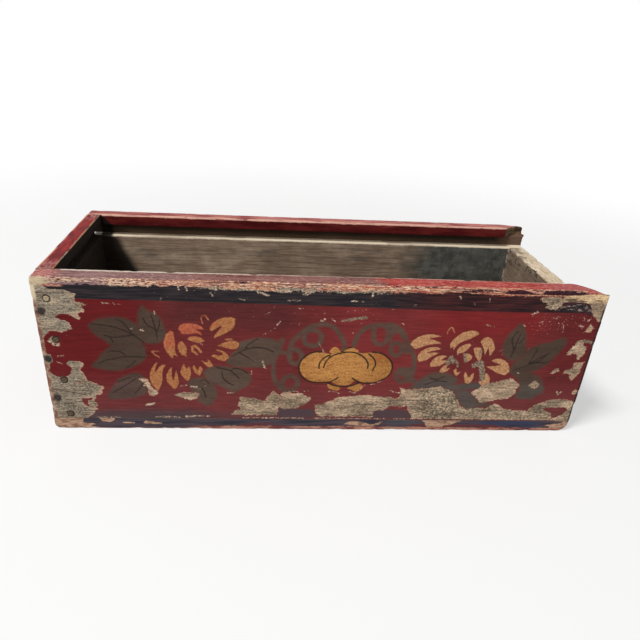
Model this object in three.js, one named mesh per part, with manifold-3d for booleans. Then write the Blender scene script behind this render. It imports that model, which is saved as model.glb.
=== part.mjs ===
// A painted wooden box for a sliding lid, lying on its base with the open end of the lid
// grooves at +X and the decorated face at -Y. Millimetres, +Z up, origin at the middle of
// the underside. Two long boards run the full length and cover the ends of two short
// boards; all four stand on a bottom board of full size. Iron nails and bamboo pegs hold
// the corners, and iron nails come up through the bottom board.

import * as THREE from 'three';
import { mergeVertices } from 'three/addons/utils/BufferGeometryUtils.js';
import Module from 'manifold-3d';

const wasm = await Module();
wasm.setup();

// Outside of the box.
const boxLength = 420;
const boxWidth = 177;
const boxHeight = 126.5;

// Boards.
const sideThickness = 16.5;
const closedEndThickness = 13;
const openEndThickness = 15;
const bottomThickness = 10;

// Grooves for the lid: plowed into both long boards and the closed end.
const lipHeight = 9.2;
const grooveHeight = 9.6;
const sideGrooveDepth = 6.5;
const endGrooveDepth = 7;

// Mouth: the lips over the grooves are sawn off on a slant at the open end.
const mouthInnerRun = 22.5;
const frontMouthOuterRun = 1.4;
const backMouthOuterRun = 4.4;

// Wear: how far edges and corners are rounded off.
const arris = 0.6;
const lipOuterWear = 3.4;
const lipInnerWear = 1.4;
const closedEndWear = 2.6;
const topCornerWear = 3;
const openCornerRun = 26;
const openCornerDrop = 2.8;
const openCornerBend = 10;
const footEdgeWear = 1.2;
const footClosedCornerWear = 4;
const footOpenCornerWear = 8.5;
const ledgeWear = 1.8;
const ledgeInnerWear = 1.1;
const hollowLength = 30;
const hollowDepth = 1.6;
const hollowReach = 3.4;
const hollowOffset = 12;

// Iron nails: square tapered shanks under small hammered heads.
const nailHeadDiameter = 5.2;
const nailHeadFlatDiameter = 3.8;
const nailHeadUnderDiameter = 4.4;
const nailHeadThickness = 1.3;
const nailHeadRim = 0.6;
const nailHeadSink = 0.3;
const nailShankWidth = 2.6;
const nailTipWidth = 1;

// Bamboo pegs: round, tapered and planed flush.
const pegDiameter = 4.4;
const pegTipDiameter = 3.2;
const pegSink = 0.2;
const pegTipChamfer = 0.7;

// How the corner fastenings are driven.
const holeClearance = 0.3;
const cornerHold = 24;
const aimPast = 14;
const outerColumn = -1.6;
const innerColumn = 4.5;
const topNailMargin = 16.7;
const rightTopNailMargin = 9;
const footNailMargin = 3.4;
const leftNailCount = 7;
const rightNailCount = 6;

// How the bottom is nailed on.
const bottomNailHold = 24;
const bottomNailEndMargin = 42;
const bottomNailsPerSide = 5;
const bottomNailsPerEnd = 2;
const endNailSpread = 64;

// Each hand-driven fastening misses its mark a little: [along the board, up].
const leftScatter = [[-1.3, 0], [0.2, 6.4], [0.5, 0], [-1, 0], [1.5, -1.6], [0.7, -1.6], [2, 0]];
const rightScatter = [[0.4, -1.2], [-0.6, 0.8], [0.6, 1.4], [0.3, -1], [0.8, 1.2], [-0.4, 0]];

// Worked out from the sizes above.
const halfLength = boxLength / 2;
const halfWidth = boxWidth / 2;
const innerHalfWidth = halfWidth - sideThickness;
const grooveTop = boxHeight - lipHeight;
const grooveFloor = grooveTop - grooveHeight;
const over = 1;
const mostOfEdge = 0.45;
const curveSteps = 5;
const roundSides = 12;
const nailHeadSides = 10;
const squareSides = 4;
const hollowSides = 16;
const hollowRings = 10;

const alongLength = new THREE.Matrix4().makeBasis(
  new THREE.Vector3(0, 1, 0),
  new THREE.Vector3(0, 0, 1),
  new THREE.Vector3(1, 0, 0)
);
const alongWidth = new THREE.Matrix4().makeBasis(
  new THREE.Vector3(1, 0, 0),
  new THREE.Vector3(0, 0, 1),
  new THREE.Vector3(0, -1, 0)
);

const redPaint = { color: 0x77202a, roughness: 0.55, metalness: 0 };
const bareWood = { color: 0xa59782, roughness: 0.8, metalness: 0 };
const iron = { color: 0x3b3029, roughness: 0.7, metalness: 0.6 };
const bamboo = { color: 0xb9986c, roughness: 0.7, metalness: 0 };

// A closed three.js geometry as a solid for cutting and joining.
function solidOf(geometry) {
  geometry.deleteAttribute('normal');
  geometry.deleteAttribute('uv');
  const merged = mergeVertices(geometry, 1e-4);
  return new wasm.Manifold(new wasm.Mesh({
    numProp: 3,
    vertProperties: new Float32Array(merged.attributes.position.array),
    triVerts: new Uint32Array(merged.index.array)
  }));
}

// A solid as a named mesh with a finish of its own.
function meshOf(name, solid, finish) {
  const data = solid.getMesh();
  const geometry = new THREE.BufferGeometry();
  geometry.setAttribute('position', new THREE.BufferAttribute(data.vertProperties, 3));
  geometry.setIndex(new THREE.BufferAttribute(data.triVerts, 1));
  geometry.computeVertexNormals();
  const mesh = new THREE.Mesh(geometry, new THREE.MeshStandardMaterial(finish));
  mesh.name = name;
  return mesh;
}

// A closed outline through corners [across, up, rounding], each corner rounded off.
function outline(corners) {
  const shape = new THREE.Shape();
  corners.forEach(([x, y, rounding], i) => {
    const corner = new THREE.Vector2(x, y);
    if (rounding === 0) {
      if (i === 0) shape.moveTo(x, y);
      else shape.lineTo(x, y);
      return;
    }
    const [beforeX, beforeY] = corners[(i + corners.length - 1) % corners.length];
    const [afterX, afterY] = corners[(i + 1) % corners.length];
    const before = new THREE.Vector2(beforeX, beforeY).sub(corner);
    const after = new THREE.Vector2(afterX, afterY).sub(corner);
    const cut = Math.min(rounding, before.length() * mostOfEdge, after.length() * mostOfEdge);
    const start = corner.clone().add(before.setLength(cut));
    const end = corner.clone().add(after.setLength(cut));
    if (i === 0) shape.moveTo(start.x, start.y);
    else shape.lineTo(start.x, start.y);
    shape.quadraticCurveTo(x, y, end.x, end.y);
  });
  shape.closePath();
  return shape;
}

// An outline of (Y, Z) run along X from low to high.
function runAlongLength(corners, low, high) {
  const geometry = new THREE.ExtrudeGeometry(outline(corners), {
    depth: high - low,
    bevelEnabled: false,
    curveSegments: curveSteps
  });
  geometry.applyMatrix4(alongLength);
  geometry.translate(low, 0, 0);
  return solidOf(geometry);
}

// An outline of (X, Z) run along Y from low to high.
function runAlongWidth(corners, low, high) {
  const geometry = new THREE.ExtrudeGeometry(outline(corners), {
    depth: high - low,
    bevelEnabled: false,
    curveSegments: curveSteps
  });
  geometry.applyMatrix4(alongWidth);
  geometry.translate(0, high, 0);
  return solidOf(geometry);
}

// An outline of (X, Y) run up Z from low to high.
function runUp(corners, low, high) {
  const geometry = new THREE.ExtrudeGeometry(outline(corners), {
    depth: high - low,
    bevelEnabled: false,
    curveSegments: curveSteps
  });
  geometry.translate(0, 0, low);
  return solidOf(geometry);
}

// A round solid about +Y from rings [radius, distance], which start and end on the axis.
function turned(rings, sides) {
  const profile = rings.map(([radius, distance]) => new THREE.Vector2(radius, distance));
  return solidOf(new THREE.LatheGeometry(profile, sides));
}

// The solid turned from +Y to point along a direction.
function pointed(solid, direction) {
  const turn = new THREE.Quaternion().setFromUnitVectors(new THREE.Vector3(0, 1, 0), direction);
  return solid.transform(new THREE.Matrix4().makeRotationFromQuaternion(turn).elements);
}

// The long boards. side is -1 for the decorated front and 1 for the back.
function sideBoard(side, mouthOuterRun) {
  const across = (inward) => side * (halfWidth - inward);
  const section = [
    [across(0), bottomThickness, arris],
    [across(sideThickness), bottomThickness, arris],
    [across(sideThickness), grooveFloor, arris],
    [across(sideThickness - sideGrooveDepth), grooveFloor, 0],
    [across(sideThickness - sideGrooveDepth), grooveTop, 0],
    [across(sideThickness), grooveTop, arris],
    [across(sideThickness), boxHeight, lipInnerWear],
    [across(0), boxHeight, lipOuterWear]
  ];
  const face = [
    [-halfLength, bottomThickness, arris],
    [halfLength, bottomThickness, arris],
    [halfLength, boxHeight - openCornerDrop, openCornerDrop],
    [halfLength - openCornerRun, boxHeight, openCornerBend],
    [-halfLength, boxHeight, topCornerWear]
  ];
  const mouth = [
    [halfLength - mouthInnerRun, across(sideThickness + over), 0],
    [halfLength - mouthOuterRun, across(-over), 0],
    [halfLength + over, across(-over), 0],
    [halfLength + over, across(sideThickness + over), 0]
  ];
  return runAlongLength(section, -halfLength - over, halfLength + over)
    .intersect(runAlongWidth(face, -halfWidth - over, halfWidth + over))
    .subtract(runUp(mouth, grooveTop, boxHeight + over));
}

// The closed end, as high as the long boards and grooved for the lid's edge.
function leftEndBoard() {
  const inner = -halfLength + closedEndThickness;
  const section = [
    [-halfLength, bottomThickness, arris],
    [inner, bottomThickness, arris],
    [inner, grooveFloor, arris],
    [inner - endGrooveDepth, grooveFloor, 0],
    [inner - endGrooveDepth, grooveTop, 0],
    [inner, grooveTop, arris],
    [inner, boxHeight, lipInnerWear],
    [-halfLength, boxHeight, closedEndWear]
  ];
  return runAlongWidth(section, -innerHalfWidth, innerHalfWidth);
}

// The open end, cut down level with the groove floors so that the lid slides over it.
// Its inner top edge is worn hollow off the middle.
function rightEndBoard() {
  const inner = halfLength - openEndThickness;
  const section = [
    [inner, bottomThickness, arris],
    [halfLength, bottomThickness, arris],
    [halfLength, grooveFloor, ledgeWear],
    [inner, grooveFloor, ledgeInnerWear]
  ];
  const hollow = new THREE.SphereGeometry(1, hollowSides, hollowRings);
  hollow.scale(hollowReach, hollowLength / 2, hollowDepth);
  hollow.translate(inner, hollowOffset, grooveFloor);
  return runAlongWidth(section, -innerHalfWidth, innerHalfWidth).subtract(solidOf(hollow));
}

// The bottom, under all four walls, with its corners knocked round.
function bottomBoard() {
  const section = [
    [-halfWidth, 0, footEdgeWear],
    [halfWidth, 0, footEdgeWear],
    [halfWidth, bottomThickness, arris],
    [-halfWidth, bottomThickness, arris]
  ];
  const face = [
    [-halfLength, 0, footClosedCornerWear],
    [halfLength, 0, footOpenCornerWear],
    [halfLength, bottomThickness, arris],
    [-halfLength, bottomThickness, arris]
  ];
  return runAlongLength(section, -halfLength - over, halfLength + over)
    .intersect(runAlongWidth(face, -halfWidth - over, halfWidth + over));
}

// A bamboo peg about the origin, its planed end on the face and its tip along direction.
// grow is the clearance round it, for the hole.
function pegAlong(direction, face, reach, grow) {
  const lead = pegDiameter;
  const radius = pegDiameter / 2 + grow;
  const tipRadius = pegTipDiameter / 2 + grow;
  const peg = turned([
    [0, -lead],
    [radius, -lead],
    [radius, 0],
    [tipRadius, reach + grow - pegTipChamfer],
    [tipRadius - pegTipChamfer, reach + grow],
    [0, reach + grow]
  ], roundSides);
  const size = 2 * (reach + lead);
  const behindFace = new THREE.BoxGeometry(size, size, size);
  const start = (grow > 0 ? -over : pegSink) + size / 2;
  behindFace.translate(face.x * start, face.y * start, face.z * start);
  return pointed(peg, direction).intersect(solidOf(behindFace));
}

// An iron nail about the origin, its head flat in the face and its tip along direction.
function nailAlong(direction, face, reach, grow) {
  const headRadius = nailHeadDiameter / 2 + grow;
  const top = grow > 0 ? -over : nailHeadSink;
  const topRadius = grow > 0 ? headRadius : nailHeadFlatDiameter / 2;
  const under = nailHeadSink + nailHeadThickness + grow;
  const head = turned([
    [0, top],
    [topRadius, top],
    [headRadius, nailHeadSink + nailHeadRim],
    [nailHeadUnderDiameter / 2 + grow, under],
    [0, under]
  ], nailHeadSides);
  const corner = Math.SQRT1_2;
  const throat = nailHeadSink + nailHeadThickness / 2;
  const shank = turned([
    [0, throat],
    [(nailShankWidth + 2 * grow) * corner, throat],
    [(nailTipWidth + 2 * grow) * corner, reach + grow],
    [0, reach + grow]
  ], squareSides);
  return pointed(head, face).add(pointed(shank, direction));
}

const boards = {
  front: sideBoard(-1, frontMouthOuterRun),
  back: sideBoard(1, backMouthOuterRun),
  left: leftEndBoard(),
  right: rightEndBoard(),
  bottom: bottomBoard()
};

const box = new THREE.Group();
const fastenings = new THREE.Group();
box.add(fastenings);

// Drives one fastening: bores its hole in the boards it passes and sets it there.
// extraBore is how much deeper than the fastening the hole runs.
function drive(name, shapeAlong, finish, head, direction, face, reach, extraBore, boardNames) {
  const hole = shapeAlong(direction, face, reach + extraBore, holeClearance);
  const bore = hole.translate(head.toArray());
  for (const boardName of boardNames) {
    boards[boardName] = boards[boardName].subtract(bore);
  }
  const mesh = meshOf(name, shapeAlong(direction, face, reach, 0), finish);
  mesh.position.copy(head);
  fastenings.add(mesh);
}

// One corner: pegs and nails by turns down the long board, each driven on a slant so that
// it ends in the middle of the short board. One that stands at the groove's level ends
// flush with the groove's wall, where the plow cut it off.
function driveCorner(side, end, count, topMargin, scatter) {
  const sideName = side < 0 ? 'front' : 'back';
  const endName = end < 0 ? 'left' : 'right';
  const lowest = bottomThickness + footNailMargin;
  const top = (end < 0 ? boxHeight : grooveFloor) - topMargin;
  const thickness = end < 0 ? closedEndThickness : openEndThickness;
  for (let i = 0; i < count; i += 1) {
    const isPeg = i % 2 === 0;
    const [along, up] = scatter[i % scatter.length];
    const inset = thickness / 2 + (isPeg ? innerColumn : outerColumn) + along;
    const height = top - ((top - lowest) * i) / (count - 1) + up;
    const head = new THREE.Vector3(end * (halfLength - inset), side * halfWidth, height);
    const drift = (end * (inset - thickness / 2)) / (sideThickness + aimPast);
    const direction = new THREE.Vector3(drift, -side, 0).normalize();
    const face = new THREE.Vector3(0, -side, 0);
    const clear = pegDiameter / 2 + holeClearance;
    const atGroove = height + clear > grooveFloor && height - clear < grooveTop;
    const depth = atGroove ? sideThickness - sideGrooveDepth : sideThickness + cornerHold;
    drive(
      `${sideName}_${endName}_${isPeg ? 'peg' : 'nail'}_${i + 1}`,
      isPeg ? pegAlong : nailAlong,
      isPeg ? bamboo : iron,
      head,
      direction,
      face,
      depth / Math.abs(direction.y),
      atGroove ? over : 0,
      [sideName, endName]
    );
  }
}

for (const side of [-1, 1]) {
  driveCorner(side, -1, leftNailCount, topNailMargin, leftScatter);
  driveCorner(side, 1, rightNailCount, rightTopNailMargin, rightScatter);
}

// The bottom's nails: up through it into the feet of the walls.
function driveBottomNail(name, x, y, boardName) {
  const up = new THREE.Vector3(0, 0, 1);
  const head = new THREE.Vector3(x, y, 0);
  const reach = bottomThickness + bottomNailHold;
  drive(name, nailAlong, iron, head, up, up, reach, 0, ['bottom', boardName]);
}

for (const [sideName, side] of [['front', -1], ['back', 1]]) {
  for (let i = 0; i < bottomNailsPerSide; i += 1) {
    const span = boxLength - 2 * bottomNailEndMargin;
    const x = -span / 2 + (span * i) / (bottomNailsPerSide - 1);
    driveBottomNail(`bottom_${sideName}_nail_${i + 1}`, x, side * (halfWidth - sideThickness / 2), sideName);
  }
}

const endMiddles = {
  left: -halfLength + closedEndThickness / 2,
  right: halfLength - openEndThickness / 2
};
for (const endName of ['left', 'right']) {
  for (let i = 0; i < bottomNailsPerEnd; i += 1) {
    const y = -endNailSpread / 2 + (endNailSpread * i) / (bottomNailsPerEnd - 1);
    driveBottomNail(`bottom_${endName}_nail_${i + 1}`, endMiddles[endName], y, endName);
  }
}

box.add(
  meshOf('front_board', boards.front, redPaint),
  meshOf('back_board', boards.back, redPaint),
  meshOf('left_end_board', boards.left, redPaint),
  meshOf('right_end_board', boards.right, bareWood),
  meshOf('bottom_board', boards.bottom, bareWood)
);

export default box;
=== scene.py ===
import bmesh
import bpy
import numpy as np
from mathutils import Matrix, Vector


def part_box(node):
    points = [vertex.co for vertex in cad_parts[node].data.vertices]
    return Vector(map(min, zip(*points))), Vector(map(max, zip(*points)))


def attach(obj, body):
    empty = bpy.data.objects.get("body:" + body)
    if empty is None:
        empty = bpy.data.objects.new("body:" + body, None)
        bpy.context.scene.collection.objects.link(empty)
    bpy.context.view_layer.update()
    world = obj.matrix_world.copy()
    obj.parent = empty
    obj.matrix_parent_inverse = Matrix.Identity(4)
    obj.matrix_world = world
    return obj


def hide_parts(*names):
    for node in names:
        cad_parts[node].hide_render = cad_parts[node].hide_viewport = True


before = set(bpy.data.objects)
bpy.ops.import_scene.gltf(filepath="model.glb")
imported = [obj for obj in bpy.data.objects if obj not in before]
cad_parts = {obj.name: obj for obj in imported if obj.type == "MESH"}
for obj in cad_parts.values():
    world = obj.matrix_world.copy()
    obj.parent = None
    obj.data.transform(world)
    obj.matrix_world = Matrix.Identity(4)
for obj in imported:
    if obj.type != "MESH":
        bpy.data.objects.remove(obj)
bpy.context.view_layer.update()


# The closed end
# A short board between the two long ones, as high as they are, with the lid's groove
# across its inner face. Softwood with red paint outside and on top, bare inside.

MM = 0.001
ARC_STEPS = 5
MOST_OF_EDGE = 0.45
ARRIS = 0.6
JOINT_ARRIS = 0.25
LIP_HEIGHT = 9.2
GROOVE_HEIGHT = 9.6
WELL_HIDDEN = 60
LATTICE = 32
END_STEPS = np.array([0, 0.15, 0.4, 0.8, 1.4])
END_STEPS_REACH = 2
SURFACE_WEAR = 0.22
WEAR_LUMP = 9
DENT_LUMP = 5
DENT_SHARE = 0.55
DENTS_END = 3.5
DENTS_FULL = 0.5


def box_mm(node_name):
    """Lowest and highest corner of a node of the frame, in mm."""
    low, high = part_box(node_name)
    return np.array(low) / MM, np.array(high) / MM


def unevenness(points, lump, seed):
    """Smooth chance values from 0 to 1 at points, in lumps of that size in mm."""
    lattice = np.random.default_rng(seed).random([LATTICE] * 3)
    scaled = points / lump
    cell = np.floor(scaled).astype(int)
    share = scaled - cell
    share = share * share * (3 - 2 * share)
    total = np.zeros(len(points))
    for corner in np.ndindex(2, 2, 2):
        weight = np.prod(np.where(corner, share, 1 - share), axis=1)
        total += weight * lattice[tuple(((cell + corner) % LATTICE).T)]
    return total


def rise(values, start, end):
    """0 up to start, 1 from end on, smooth between; start may be the larger."""
    share = np.clip((values - start) / (end - start), 0, 1)
    return share * share * (3 - 2 * share)


def stations(low, high, spacing, extra=()):
    """Places along a board from low to high, closer together at its rounded ends."""
    steps = int((high - low) / spacing)
    middle = np.linspace(low + END_STEPS_REACH, high - END_STEPS_REACH, steps)
    return np.unique(np.concatenate([low + END_STEPS, middle, high - END_STEPS, extra]))


def end_rounding(places, radius):
    """How far the whole section draws in near each end of a board."""
    from_end = np.minimum(places - places[0], places[-1] - places)
    short = np.clip(radius - from_end, 0, radius)
    return radius - np.sqrt(radius**2 - short**2)


def mark(piece, name, values):
    """Stores one number for each point of the mesh, for its finish to read."""
    layer = piece.data.attributes.new(name, "FLOAT", "POINT")
    layer.data.foreach_set("value", np.asarray(values, np.float32))


def places_of(piece):
    """The points of a mesh in mm, one row each."""
    flat = np.empty(len(piece.data.vertices) * 3)
    piece.data.vertices.foreach_get("co", flat)
    return flat.reshape(-1, 3) / MM


def press_in(piece, depth):
    """Moves each point of a mesh inwards by its depth in mm, never out of its own box."""
    normals = np.empty(len(piece.data.vertices) * 3)
    piece.data.vertices.foreach_get("normal", normals)
    before = places_of(piece)
    moved = before - normals.reshape(-1, 3) * np.asarray(depth)[:, None]
    moved = np.clip(moved, before.min(0), before.max(0))
    piece.data.vertices.foreach_set("co", (moved * MM).ravel())
    piece.data.update()


def new_piece(name, points, faces):
    """A closed mesh object from points in mm and faces, its faces turned outwards."""
    mesh = bpy.data.meshes.new(name)
    mesh.from_pydata((points * MM).tolist(), [], faces)
    shaper = bmesh.new()
    shaper.from_mesh(mesh)
    bmesh.ops.recalc_face_normals(shaper, faces=shaper.faces)
    for face in shaper.faces:
        face.smooth = len(face.verts) < 5
    shaper.to_mesh(mesh)
    shaper.free()
    piece = bpy.data.objects.new(name, mesh)
    bpy.context.scene.collection.objects.link(piece)
    return piece


def tube_faces(rings, around):
    """Quads between rings of points, and one face to close each end."""
    faces = []
    for ring in range(rings - 1):
        start = ring * around
        for i in range(around):
            j = (i + 1) % around
            faces.append((start + i, start + j, start + around + j, start + around + i))
    faces.append(tuple(range(around)))
    faces.append(tuple(range((rings - 1) * around, rings * around)))
    return faces


def board(name, along_x, places, corners, roundings, spacings, painted, exposed):
    """A board as its section run along its length.

    corners holds the section's corners at each place (across, up), roundings how far
    each corner is cut, spacings the point distance on the side after each corner,
    painted whether that side is painted, and exposed which corners wear."""
    before = np.roll(corners, 1, 1) - corners
    after = np.roll(corners, -1, 1) - corners
    length_before = np.maximum(np.linalg.norm(before, axis=2), 1e-6)
    length_after = np.maximum(np.linalg.norm(after, axis=2), 1e-6)
    cut = np.minimum(roundings, MOST_OF_EDGE * np.minimum(length_before, length_after))
    starts = corners + before * (cut / length_before)[..., None]
    ends = corners + after * (cut / length_after)[..., None]
    count = corners.shape[1]
    section, paint = [], []
    for k in range(count):
        for t in np.linspace(0, 1, ARC_STEPS):
            bend = (1 - t) ** 2 * starts[:, k] + 2 * t * (1 - t) * corners[:, k] + t**2 * ends[:, k]
            section.append(bend)
            paint.append((1 - t) * painted[k - 1] + t * painted[k])
        following = starts[:, (k + 1) % count]
        steps = max(1, int(np.linalg.norm(following - ends[:, k], axis=1).max() / spacings[k]))
        for t in np.linspace(0, 1, steps + 1)[1:-1]:
            section.append((1 - t) * ends[:, k] + t * following)
            paint.append(painted[k])
    section = np.stack(section, 1)
    rings, around = section.shape[:2]
    along = np.repeat(places[:, None], around, 1)
    columns = [along, section[..., 0]] if along_x else [section[..., 0], along]
    points = np.stack(columns + [section[..., 1]], 2).reshape(-1, 3)
    piece = new_piece(name, points, tube_faces(rings, around))
    hidden = np.where(exposed, 0, WELL_HIDDEN)
    to_corners = np.linalg.norm(section[:, :, None] - corners[:, None], axis=3) + hidden
    to_ends = np.minimum(places - places[0], places[-1] - places)[:, None]
    edge = np.minimum(to_corners.min(2), to_ends)
    mark(piece, "edge", edge.ravel())
    mark(piece, "paint", np.tile(paint, rings))
    mark(piece, "end", np.repeat(np.isin(places, places[[0, -1]]), around))
    return piece, edge.ravel()


def handle_wear(piece, edge, seed, dent=2.4):
    """Rubs a board's surface uneven and its edges down with small dents."""
    points = places_of(piece)
    surface = SURFACE_WEAR * unevenness(points * (0.3, 1, 1), WEAR_LUMP, seed)
    dents = np.clip(unevenness(points, DENT_LUMP, seed + 1) - DENT_SHARE, 0, 1) * dent
    press_in(piece, surface + dents * rise(edge, DENTS_END, DENTS_FULL))


class Value:
    """A number, colour or vector of a finish. Sums of numbers add Math nodes."""

    def __init__(self, tree, socket=None):
        self.tree = tree
        self.socket = socket

    def node(self, kind, settings, sockets, output=0):
        made = self.tree.nodes.new("ShaderNode" + kind)
        for name, setting in settings.items():
            setattr(made, name, setting)
        for name, value in sockets.items():
            if isinstance(value, Value):
                self.tree.links.new(value.socket, made.inputs[name])
            else:
                made.inputs[name].default_value = value
        return Value(self.tree, made.outputs[output] if made.outputs else None)

    def maths(self, operation, first, second):
        return self.node("Math", {"operation": operation}, {0: first, 1: second})

    def __add__(self, other):
        return self.maths("ADD", self, other)

    def __radd__(self, other):
        return self.maths("ADD", other, self)

    def __sub__(self, other):
        return self.maths("SUBTRACT", self, other)

    def __rsub__(self, other):
        return self.maths("SUBTRACT", other, self)

    def __mul__(self, other):
        return self.maths("MULTIPLY", self, other)

    def __rmul__(self, other):
        return self.maths("MULTIPLY", other, self)

    def least(self, other):
        return self.maths("MINIMUM", self, other)

    def most(self, other):
        return self.maths("MAXIMUM", self, other)

    def ramp(self, start, end):
        """0 up to start, 1 from end on, smooth between; start may be the larger."""
        return self.node(
            "MapRange",
            {"interpolation_type": "SMOOTHSTEP"},
            {"Value": self, "From Min": start, "From Max": end},
        )

    def stretched(self, x, y, z):
        """A vector with each part multiplied."""
        return self.node("VectorMath", {"operation": "MULTIPLY"}, {0: self, 1: (x, y, z)})

    def noise(self, lump, detail=3.0, roughness=0.55):
        """Even chance values at this place, in lumps of that size in mm."""
        sockets = {"Vector": self, "Scale": 1 / lump, "Detail": detail, "Roughness": roughness}
        return self.node("TexNoise", {}, sockets)

    def between(self, first, second):
        """The first colour where this number is 0, the second where it is 1."""
        return self.node("Mix", {"data_type": "RGBA"}, {0: self, 6: first, 7: second}, 2)

    def covered(self, top, mask):
        """This colour under a top colour that shows where mask is 1."""
        return self.node("Mix", {"data_type": "RGBA"}, {0: mask, 6: self, 7: top}, 2)

    def part(self, axis):
        """One of a vector's three parts."""
        return self.node("SeparateXYZ", {}, {0: self}, axis)

    def parts(self):
        """All three parts of a vector."""
        return [self.part(axis) for axis in range(3)]


def srgb(red, green, blue):
    """A colour as seen on a screen, from 0 to 255, as Blender's linear colour."""
    seen = np.array([red, green, blue]) / 255
    linear = np.where(seen <= 0.04045, seen / 12.92, ((seen + 0.055) / 1.055) ** 2.4)
    return (*linear.tolist(), 1.0)


def new_finish(name):
    """An empty material, and where a point is in mm, which its nodes start from."""
    material = bpy.data.materials.new(name)
    material.use_nodes = True
    material.node_tree.nodes.clear()
    here = Value(material.node_tree).node("TexCoord", {}, {}, 3)
    return material, here.stretched(1 / MM, 1 / MM, 1 / MM)


def marked(place, name):
    """A number that the mesh carries at each point."""
    return place.node("Attribute", {"attribute_name": name}, {}, 2)


def zone(value, low, high, soft):
    """1 between two places, fading outside them."""
    return value.ramp(low - soft, low + soft) * value.ramp(high + soft, high - soft)


def shaded(colour, factor):
    """A colour made lighter or darker."""
    return colour.node("VectorMath", {"operation": "SCALE"}, {0: colour, "Scale": factor})


def close_finish(colour, roughness, height, shine=0.08):
    """Ends a finish: colour, roughness and a height in mm under soft gloss."""
    bump = colour.node("Bump", {}, {"Strength": 1.0, "Distance": MM, "Height": height})
    sockets = {"Base Color": colour, "Roughness": roughness, "Normal": bump}
    surface = colour.node("BsdfPrincipled", {}, {**sockets, "Specular IOR Level": shine})
    colour.node("OutputMaterial", {}, {"Surface": surface})


def give_finish(piece, material):
    """Puts a finish on a piece."""
    piece.data.materials.clear()
    piece.data.materials.append(material)


ALONG_X = (0.05, 1, 1)
ALONG_Y = (1, 0.05, 1)
GREY_WOOD = [srgb(104, 92, 76), srgb(146, 130, 108), srgb(186, 170, 146)]
INNER_WOOD = [srgb(118, 100, 84), srgb(142, 122, 104), srgb(164, 144, 124)]


def old_wood(place, grain, shades):
    """Colour and height of bare old wood, its fibres along the grain."""
    dark, usual, pale = shades
    fibres = place.stretched(*grain)
    streaks = fibres.noise(1.3, 5.0, 0.6)
    broad = place.stretched(*(0.5 + 0.5 * g for g in grain)).noise(16)
    colour = streaks.ramp(0.33, 0.58).between(dark, usual)
    colour = colour.covered(pale, (broad * 0.6 + streaks * 0.4).ramp(0.46, 0.66))
    pores = place.stretched(*(0.25 + 0.75 * g for g in grain)).noise(0.8, 2.0)
    colour = colour.covered(dark, pores.ramp(0.6, 0.72) * 0.6)
    return colour, streaks * 0.28 - pores.ramp(0.6, 0.72) * 0.08


def flaking(place, grain, edge_wear, foot_wear):
    """How far, in mm, paint is from the nearest bare place; below 0 it is gone."""
    ragged = place.stretched(*(0.45 + 0.55 * g for g in grain)).noise(5, 6.0, 0.65)
    at_edges = marked(place, "edge") - edge_wear * (ragged * 3.4 - 0.9)
    clouds = place.stretched(*(0.5 + 0.5 * g for g in grain)).noise(34, 8.0, 0.62)
    low_down = place.part(2).ramp(42, 6) * foot_wear
    patches = (0.665 - clouds - low_down) * 60
    return at_edges.least(patches)


GROUND_PAINT = srgb(196, 150, 124)


def red_paint(place, grain):
    """Brushed red paint, a little uneven, flecked and scuffed."""
    brushed = place.stretched(*grain).noise(2.4, 4.0)
    clouds = place.noise(30)
    tone = (brushed * 0.5 + clouds * 0.5).ramp(0.38, 0.62)
    colour = tone.between(srgb(88, 28, 30), srgb(116, 40, 40))
    flecks = place.noise(1.5, 3.0, 0.6) + (place.noise(40) - 0.5) * 0.2
    colour = colour.covered(srgb(178, 128, 110), flecks.ramp(0.72, 0.75) * 0.7)
    scuffs = place.stretched(0.5, 0.5, 1).noise(9, 6.0, 0.7)
    return colour.covered(srgb(70, 30, 32), scuffs.ramp(0.56, 0.66) * 0.6)


def coat(place, under, paint, field):
    """Paint over wood, with the pale ground showing along its broken edges."""
    here = place.noise(4.5, 3.0).ramp(0.5, 0.58)
    rim = field.ramp(-1.3, -0.5) * (1 - field.ramp(-0.2, 0.1)) * here
    shown = under.covered(GROUND_PAINT, rim * 0.7)
    return shown.covered(paint, field.ramp(-0.2, 0.2))


def dress(piece, material, node_name):
    """Gives a finished piece its place on the box."""
    give_finish(piece, material)
    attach(piece, "root")
    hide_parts(node_name)


low, high = box_mm("left_end_board")
TOP = high[2]
FOOT = low[2]
GROOVE_TOP = TOP - LIP_HEIGHT
GROOVE_FLOOR = GROOVE_TOP - GROOVE_HEIGHT
END_GROOVE_DEPTH = 7
CLOSED_END_WEAR = 2.6
# Painted shade: a near-black colour laid on where the closed end keeps light out of the inside.
CORNER_SHADE = srgb(20, 17, 15)
LIP_INNER_WEAR = 1.4
END_BOARD_SPACING = 1.6
GROOVE_ARRIS = 0.2

rows = stations(low[1], high[1], END_BOARD_SPACING)
section = np.array([
    (low[0], FOOT), (high[0], FOOT), (high[0], GROOVE_FLOOR),
    (high[0] - END_GROOVE_DEPTH, GROOVE_FLOOR), (high[0] - END_GROOVE_DEPTH, GROOVE_TOP),
    (high[0], GROOVE_TOP), (high[0], TOP), (low[0], TOP),
])
left_end, left_edge = board(
    "closed_end", False, rows, np.repeat(section[None], len(rows), 0),
    roundings=[ARRIS, ARRIS, 1.2, GROOVE_ARRIS, GROOVE_ARRIS, 1, LIP_INNER_WEAR, CLOSED_END_WEAR],
    spacings=[4, 3, 3, 3, 3, 2, 1.2, 1.8],
    painted=[0, 0, 0, 0, 0, 0.3, 1, 1],
    exposed=[False, False, True, False, False, True, True, True],
)
handle_wear(left_end, left_edge, seed=11, dent=0.7)


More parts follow.
